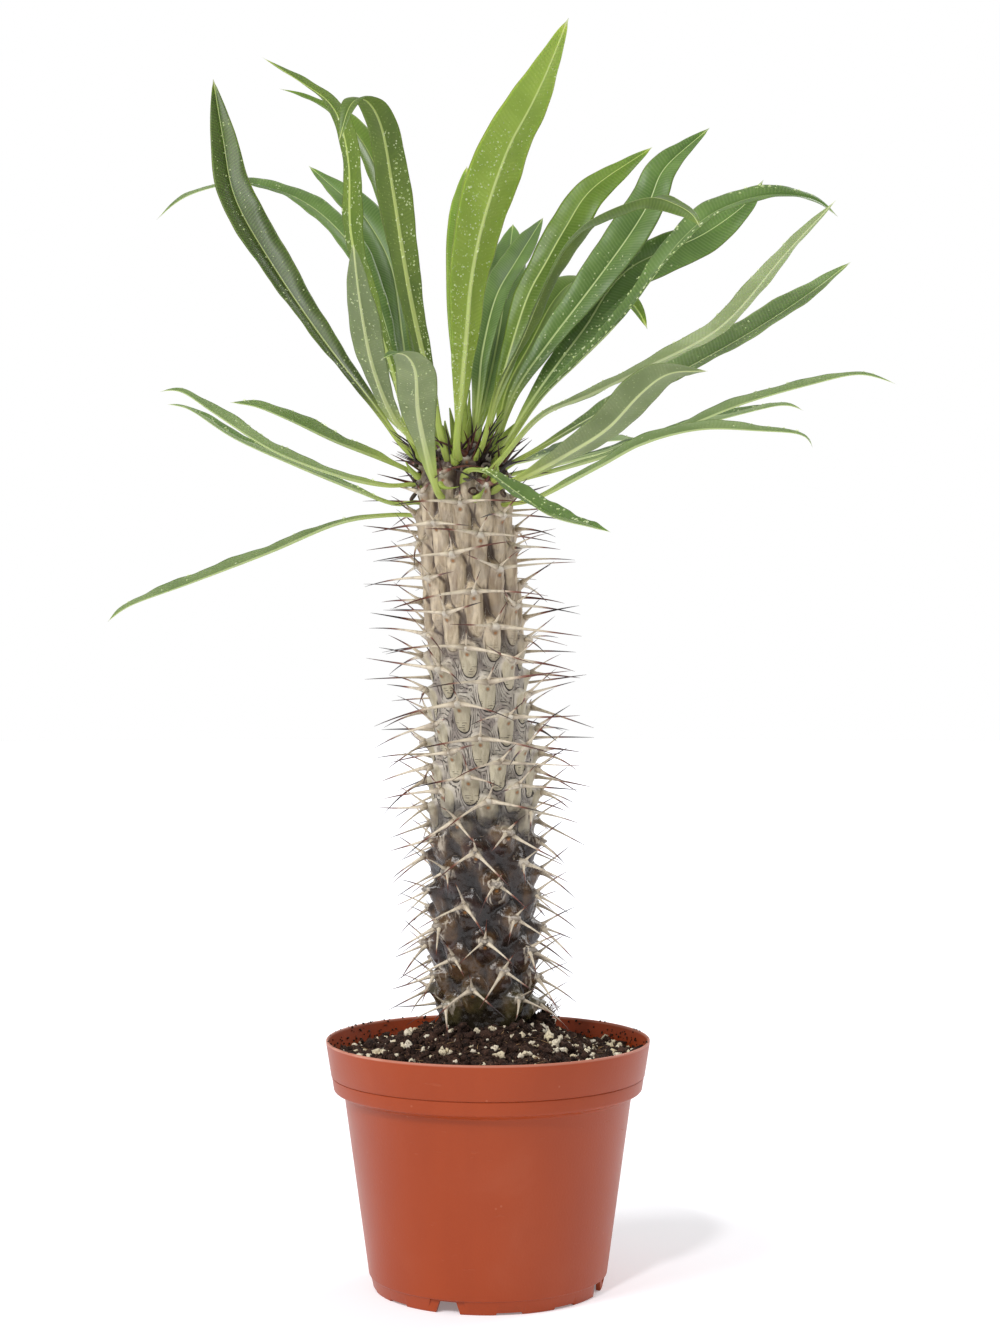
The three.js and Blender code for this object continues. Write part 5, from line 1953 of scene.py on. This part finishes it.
@dataclass
class Foliage:
    """All thirty leaves and the beads of water on them."""

    trunk: Trunk
    columns: int = 44
    ring_cuts: tuple = (5, 15)
    seed: int = 41

    def build(self, skins: dict[LeafTone, bpy.types.Material], water: bpy.types.Material) -> None:
        """Makes the leaves and the beads."""
        template = ringed_tube("leaf_form", self.columns, self.ring_cuts)
        leaves = {}
        for number, (name, row) in enumerate(LEAVES.items()):
            width, fold, rolls, tone, *points = row
            leaf = Leaf(name, width, fold, rolls, points, self.trunk, self.seed + number)
            leaves[name] = leaf
            hand_over(leaf.build_mesh(template.data), skins[tone], "leaf", name)
        discard(template)
        self.build_drops(leaves, water)

    def drop_regions(self) -> list[DropRegion]:
        """The places of the beads."""
        fine, coarse = (0.24, 0.62), (0.45, 1.0)
        rows = (
            ("leaf_01", -1, (0.12, 0.75), (-0.95, 0.1), 330, fine),
            ("leaf_01", -1, (0.2, 0.9), (0.1, 0.95), 90, fine),
            ("leaf_02", 1, (0.2, 0.8), (-0.95, 0.95), 60, fine),
            ("leaf_21", -1, (0.15, 0.8), (-0.95, 0.95), 260, fine),
            ("leaf_28", -1, (0.15, 0.75), (-0.1, 0.95), 230, fine),
            ("leaf_22", -1, (0.15, 0.9), (-0.9, 0.9), 130, fine),
            ("leaf_23", -1, (0.3, 0.8), (-0.9, 0.9), 60, fine),
            ("leaf_07", 1, (0.15, 0.6), (-0.9, 0.9), 110, fine),
            ("leaf_08", 1, (0.2, 0.7), (-0.9, 0.9), 120, fine),
            ("leaf_05", 1, (0.2, 0.7), (-0.9, 0.9), 70, fine),
            ("leaf_11", 1, (0.2, 0.8), (-0.9, 0.9), 90, fine),
            ("leaf_19", 1, (0.2, 0.9), (-0.9, 0.9), 110, fine),
            ("leaf_20", 1, (0.2, 0.9), (-0.9, 0.9), 80, fine),
            ("leaf_13", 1, (0.25, 0.95), (-0.9, 0.9), 90, coarse),
            ("leaf_14", 1, (0.25, 0.95), (-0.9, 0.9), 90, coarse),
            ("leaf_15", 1, (0.25, 0.95), (-0.9, 0.9), 90, coarse),
            ("leaf_16", 1, (0.25, 0.95), (-0.9, 0.9), 60, coarse),
            ("leaf_17", 1, (0.2, 0.9), (-0.8, 0.8), 60, coarse),
            ("leaf_09", 1, (0.2, 0.7), (-1.0, -0.7), 60, coarse),
            ("leaf_09", 1, (0.2, 0.95), (0.5, 1.0), 50, coarse),
            ("leaf_10", 1, (0.2, 0.9), (-1.0, -0.6), 50, coarse),
            ("leaf_10", 1, (0.2, 0.9), (0.6, 1.0), 50, coarse),
            ("leaf_24", 1, (0.2, 0.95), (-1.0, 1.0), 80, coarse),
            ("leaf_25", 1, (0.2, 0.95), (-1.0, 1.0), 90, coarse),
            ("leaf_26", 1, (0.2, 0.95), (-1.0, 1.0), 60, coarse),
            ("leaf_27", 1, (0.2, 0.95), (-1.0, 1.0), 90, coarse),
        )
        return [DropRegion(*row) for row in rows]

    def build_drops(self, leaves: dict[str, Leaf], material: bpy.types.Material) -> None:
        """Makes beads of water, a little sunk into the leaf under them."""
        random = np.random.default_rng(self.seed)
        clear_selection()
        bpy.ops.mesh.primitive_uv_sphere_add(segments=8, ring_count=5, radius=1.0)
        bead = bpy.context.object
        template = bead.data.copy()
        discard(bead)
        frames, places = [], []
        for region in self.drop_regions():
            leaf = leaves[region.leaf]
            u = random.uniform(*region.along, region.count)
            a = random.uniform(*region.across, region.count)
            over = np.full(region.count, float(region.over))
            step = 0.004
            here = leaf.place_points(u, a, over)[0]
            ahead = leaf.place_points(u + step, a, over)[0]
            beside = leaf.place_points(u, a + step * np.where(a > 0.9, -1, 1), over)[0]
            tangent = unit(ahead - here)
            across = unit((beside - here) * np.where(a > 0.9, -1, 1)[:, None])
            normal = unit(np.cross(tangent, across)) * region.over
            across = np.cross(normal, tangent)
            size = region.radii[0] + (
                region.radii[1] - region.radii[0]
            ) * random.power(0.6, region.count)
            squash = random.uniform(0.5, 0.8, region.count)
            table = np.stack([tangent, across * 0.95, normal * squash[:, None]], axis=-1)
            frames.append(table * (size * MM)[:, None, None])
            places.append((here + normal * (0.2 * size)[:, None]) * MM)
        frames, places = np.concatenate(frames), np.concatenate(places)
        points = np.einsum("nij,vj->nvi", frames, coordinates(template)) + places[:, None]
        drops = closed_piece("water_beads", points, repeated_faces(template, len(places)))
        hand_over(drops, material, "leaf")


# ---------- crown ----------


@dataclass
class Crown:
    """Dried leaf bases and fluff between the leaves, young shoots and hooked green feet."""

    trunk: Trunk
    count: int = 150
    cups: int = 26
    shoots: int = 30
    seed: int = 61
    # Each hooked foot: where it starts, where it points, its length, radius and two bends.
    hooks: tuple = (
        ((-25, -25.5, 419), (0.25, -0.4, -0.85), 9.5, 1.9, 1.25, -0.3),
        ((-7, -25.0, 411), (0.9, -0.4, 0.1), 7.0, 1.9, 0.7, 0.2),
        ((3, -22.5, 421), (0.5, -0.8, 0.3), 9.0, 1.9, 0.5, 0.2),
        ((-36, -18.0, 423), (-0.6, -0.7, 0.2), 9.0, 1.8, 0.6, 0.2),
        ((-17, -21.0, 430), (-0.1, -0.8, 0.5), 8.0, 2.0, 0.6, 0.3),
    )

    def build(self, debris: bpy.types.Material, skin: bpy.types.Material) -> None:
        """Makes the debris, the cups and the stubs."""
        random = np.random.default_rng(self.seed)
        self.build_debris(random, debris)
        self.build_cups(random, debris)
        self.build_stubs(random, skin)

    def build_debris(self, random: np.random.Generator, material: bpy.types.Material) -> None:
        """Makes lumps of dried tissue."""
        angle = random.uniform(0, TURN, self.count)
        away = 22.0 * np.sqrt(random.uniform(0.02, 1.0, self.count))
        z = np.interp(
            away, [0, 8, 16, 21, 23], [441, 440, 436, 430, 424]
        ) + random.normal(0, 1.2, self.count)
        x = away * np.sin(angle) + self.trunk.axis(z)
        y = -away * np.cos(angle)
        size = random.uniform(0.8, 2.4, self.count)
        shapes = [lump(random, 2, 0.8) for _ in range(5)]
        shades = random.random(self.count)
        lumps = strew("crown_debris", shapes, size, np.column_stack([x, y, z]), shades, random)
        hand_over(lumps, material, "trunk")

    def build_cups(self, random: np.random.Generator, material: bpy.types.Material) -> None:
        """Makes the hollow dried bases of shed leaves round the rim."""
        clear_selection()
        bpy.ops.mesh.primitive_torus_add(
            major_segments=14, minor_segments=6, major_radius=2.3, minor_radius=0.75
        )
        ring = bpy.context.object
        count = self.cups
        angle = random.uniform(0, TURN, count)
        z = random.uniform(414, 434, count)
        away = np.interp(z, [414, 428, 436], [26.5, 24.0, 18.5])
        tilt = random.normal(0.15, 0.3, count)
        out = np.column_stack([np.sin(angle), -np.cos(angle), np.zeros(count)])
        aside = np.column_stack([np.cos(angle), np.sin(angle), np.zeros(count)])
        aim = unit(out + np.array([0.0, 0.0, 1.0]) * (0.3 + tilt)[:, None])
        above = np.cross(aim, aside)
        frames = np.stack(
            [aside, above, aim], axis=2
        ) * random.uniform(0.7, 1.15, count)[:, None, None]
        frames[:, :, 0] *= random.uniform(0.8, 1.3, count)[:, None]
        places = out * away[:, None] + np.column_stack([self.trunk.axis(z), np.zeros(count), z])
        points, faces, owner = copies(ring.data, frames * MM, places * MM)
        mesh = mesh_of(points, faces)
        paint(mesh, "shade", random.uniform(0.8, 0.92, count)[owner])
        discard(ring)
        hand_over(new_piece("crown_cups", mesh), material, "trunk")

    def build_stubs(self, random: np.random.Generator, material: bpy.types.Material) -> None:
        """Makes young shoots in the middle and the hooked feet of leaves that have dropped."""
        starts = [row[0] for row in self.hooks]
        aims = [row[1] for row in self.hooks]
        rest = [row[2:] for row in self.hooks]
        for _ in range(self.shoots):
            angle, away = random.uniform(0, TURN), random.uniform(2.0, 15.0)
            out = np.array([math.sin(angle), -math.cos(angle)])
            starts.append(
                (self.trunk.crown_axis + out[0] * away, out[1] * away, 437.0 - 0.25 * away)
            )
            aims.append((out[0] * away * 0.045, out[1] * away * 0.045, 1.0))
            rest.append(
                (random.uniform(12, 34), random.uniform(1.4, 2.8), random.normal(0, 0.14), 0.05)
            )
        length, radius, lift, sway = np.array(rest).T
        routes = (np.array(starts, dtype=float), unit(np.array(aims, dtype=float)), length)
        stubs, share = bent_tubes(
            "crown_stubs", (9, [9]), routes, radius, self.stub_taper, (lift, sway)
        )
        count = len(share)
        paint(
            stubs.data, "blade",
            np.column_stack([14 + 30 * share, np.full(count, 4.0), np.zeros(count)])
        )
        paint(stubs.data, "outline", np.column_stack([share, np.zeros(count), np.ones(count)]))
        hand_over(stubs, material, "leaf")

    def stub_taper(self, share: np.ndarray) -> np.ndarray:
        """Share of a stub's radius: stout, with a blunt tip."""
        return 0.16 + 0.94 * (1 - share**1.6)


# ---------- whole object ----------


def main() -> None:
    """Builds the studio and the plant."""
    logging.basicConfig(level=logging.INFO, format="%(name)s %(message)s")
    Studio().build()
    effects = Effects()
    pot = Pot()
    pot.build(PotPlastic().build(effects))
    perlite, peat, fibre = ExpandedPerlite().build(
        effects
    ), Peat().build(effects), PeatFibre().build(effects)
    SoilBed(pot).build(peat, perlite, fibre)
    trunk = Trunk()
    trunk.build(TrunkBark().build(effects), SpineHorn().build(effects))
    skins = {tone: LeafSkin(tone.name.lower(), tone.value).build(effects) for tone in LeafTone}
    Crown(trunk).build(CrownDebris().build(effects), skins[LeafTone.FRESH])
    Foliage(trunk).build(skins, Water().build())


if __name__ == "__main__":
    main()
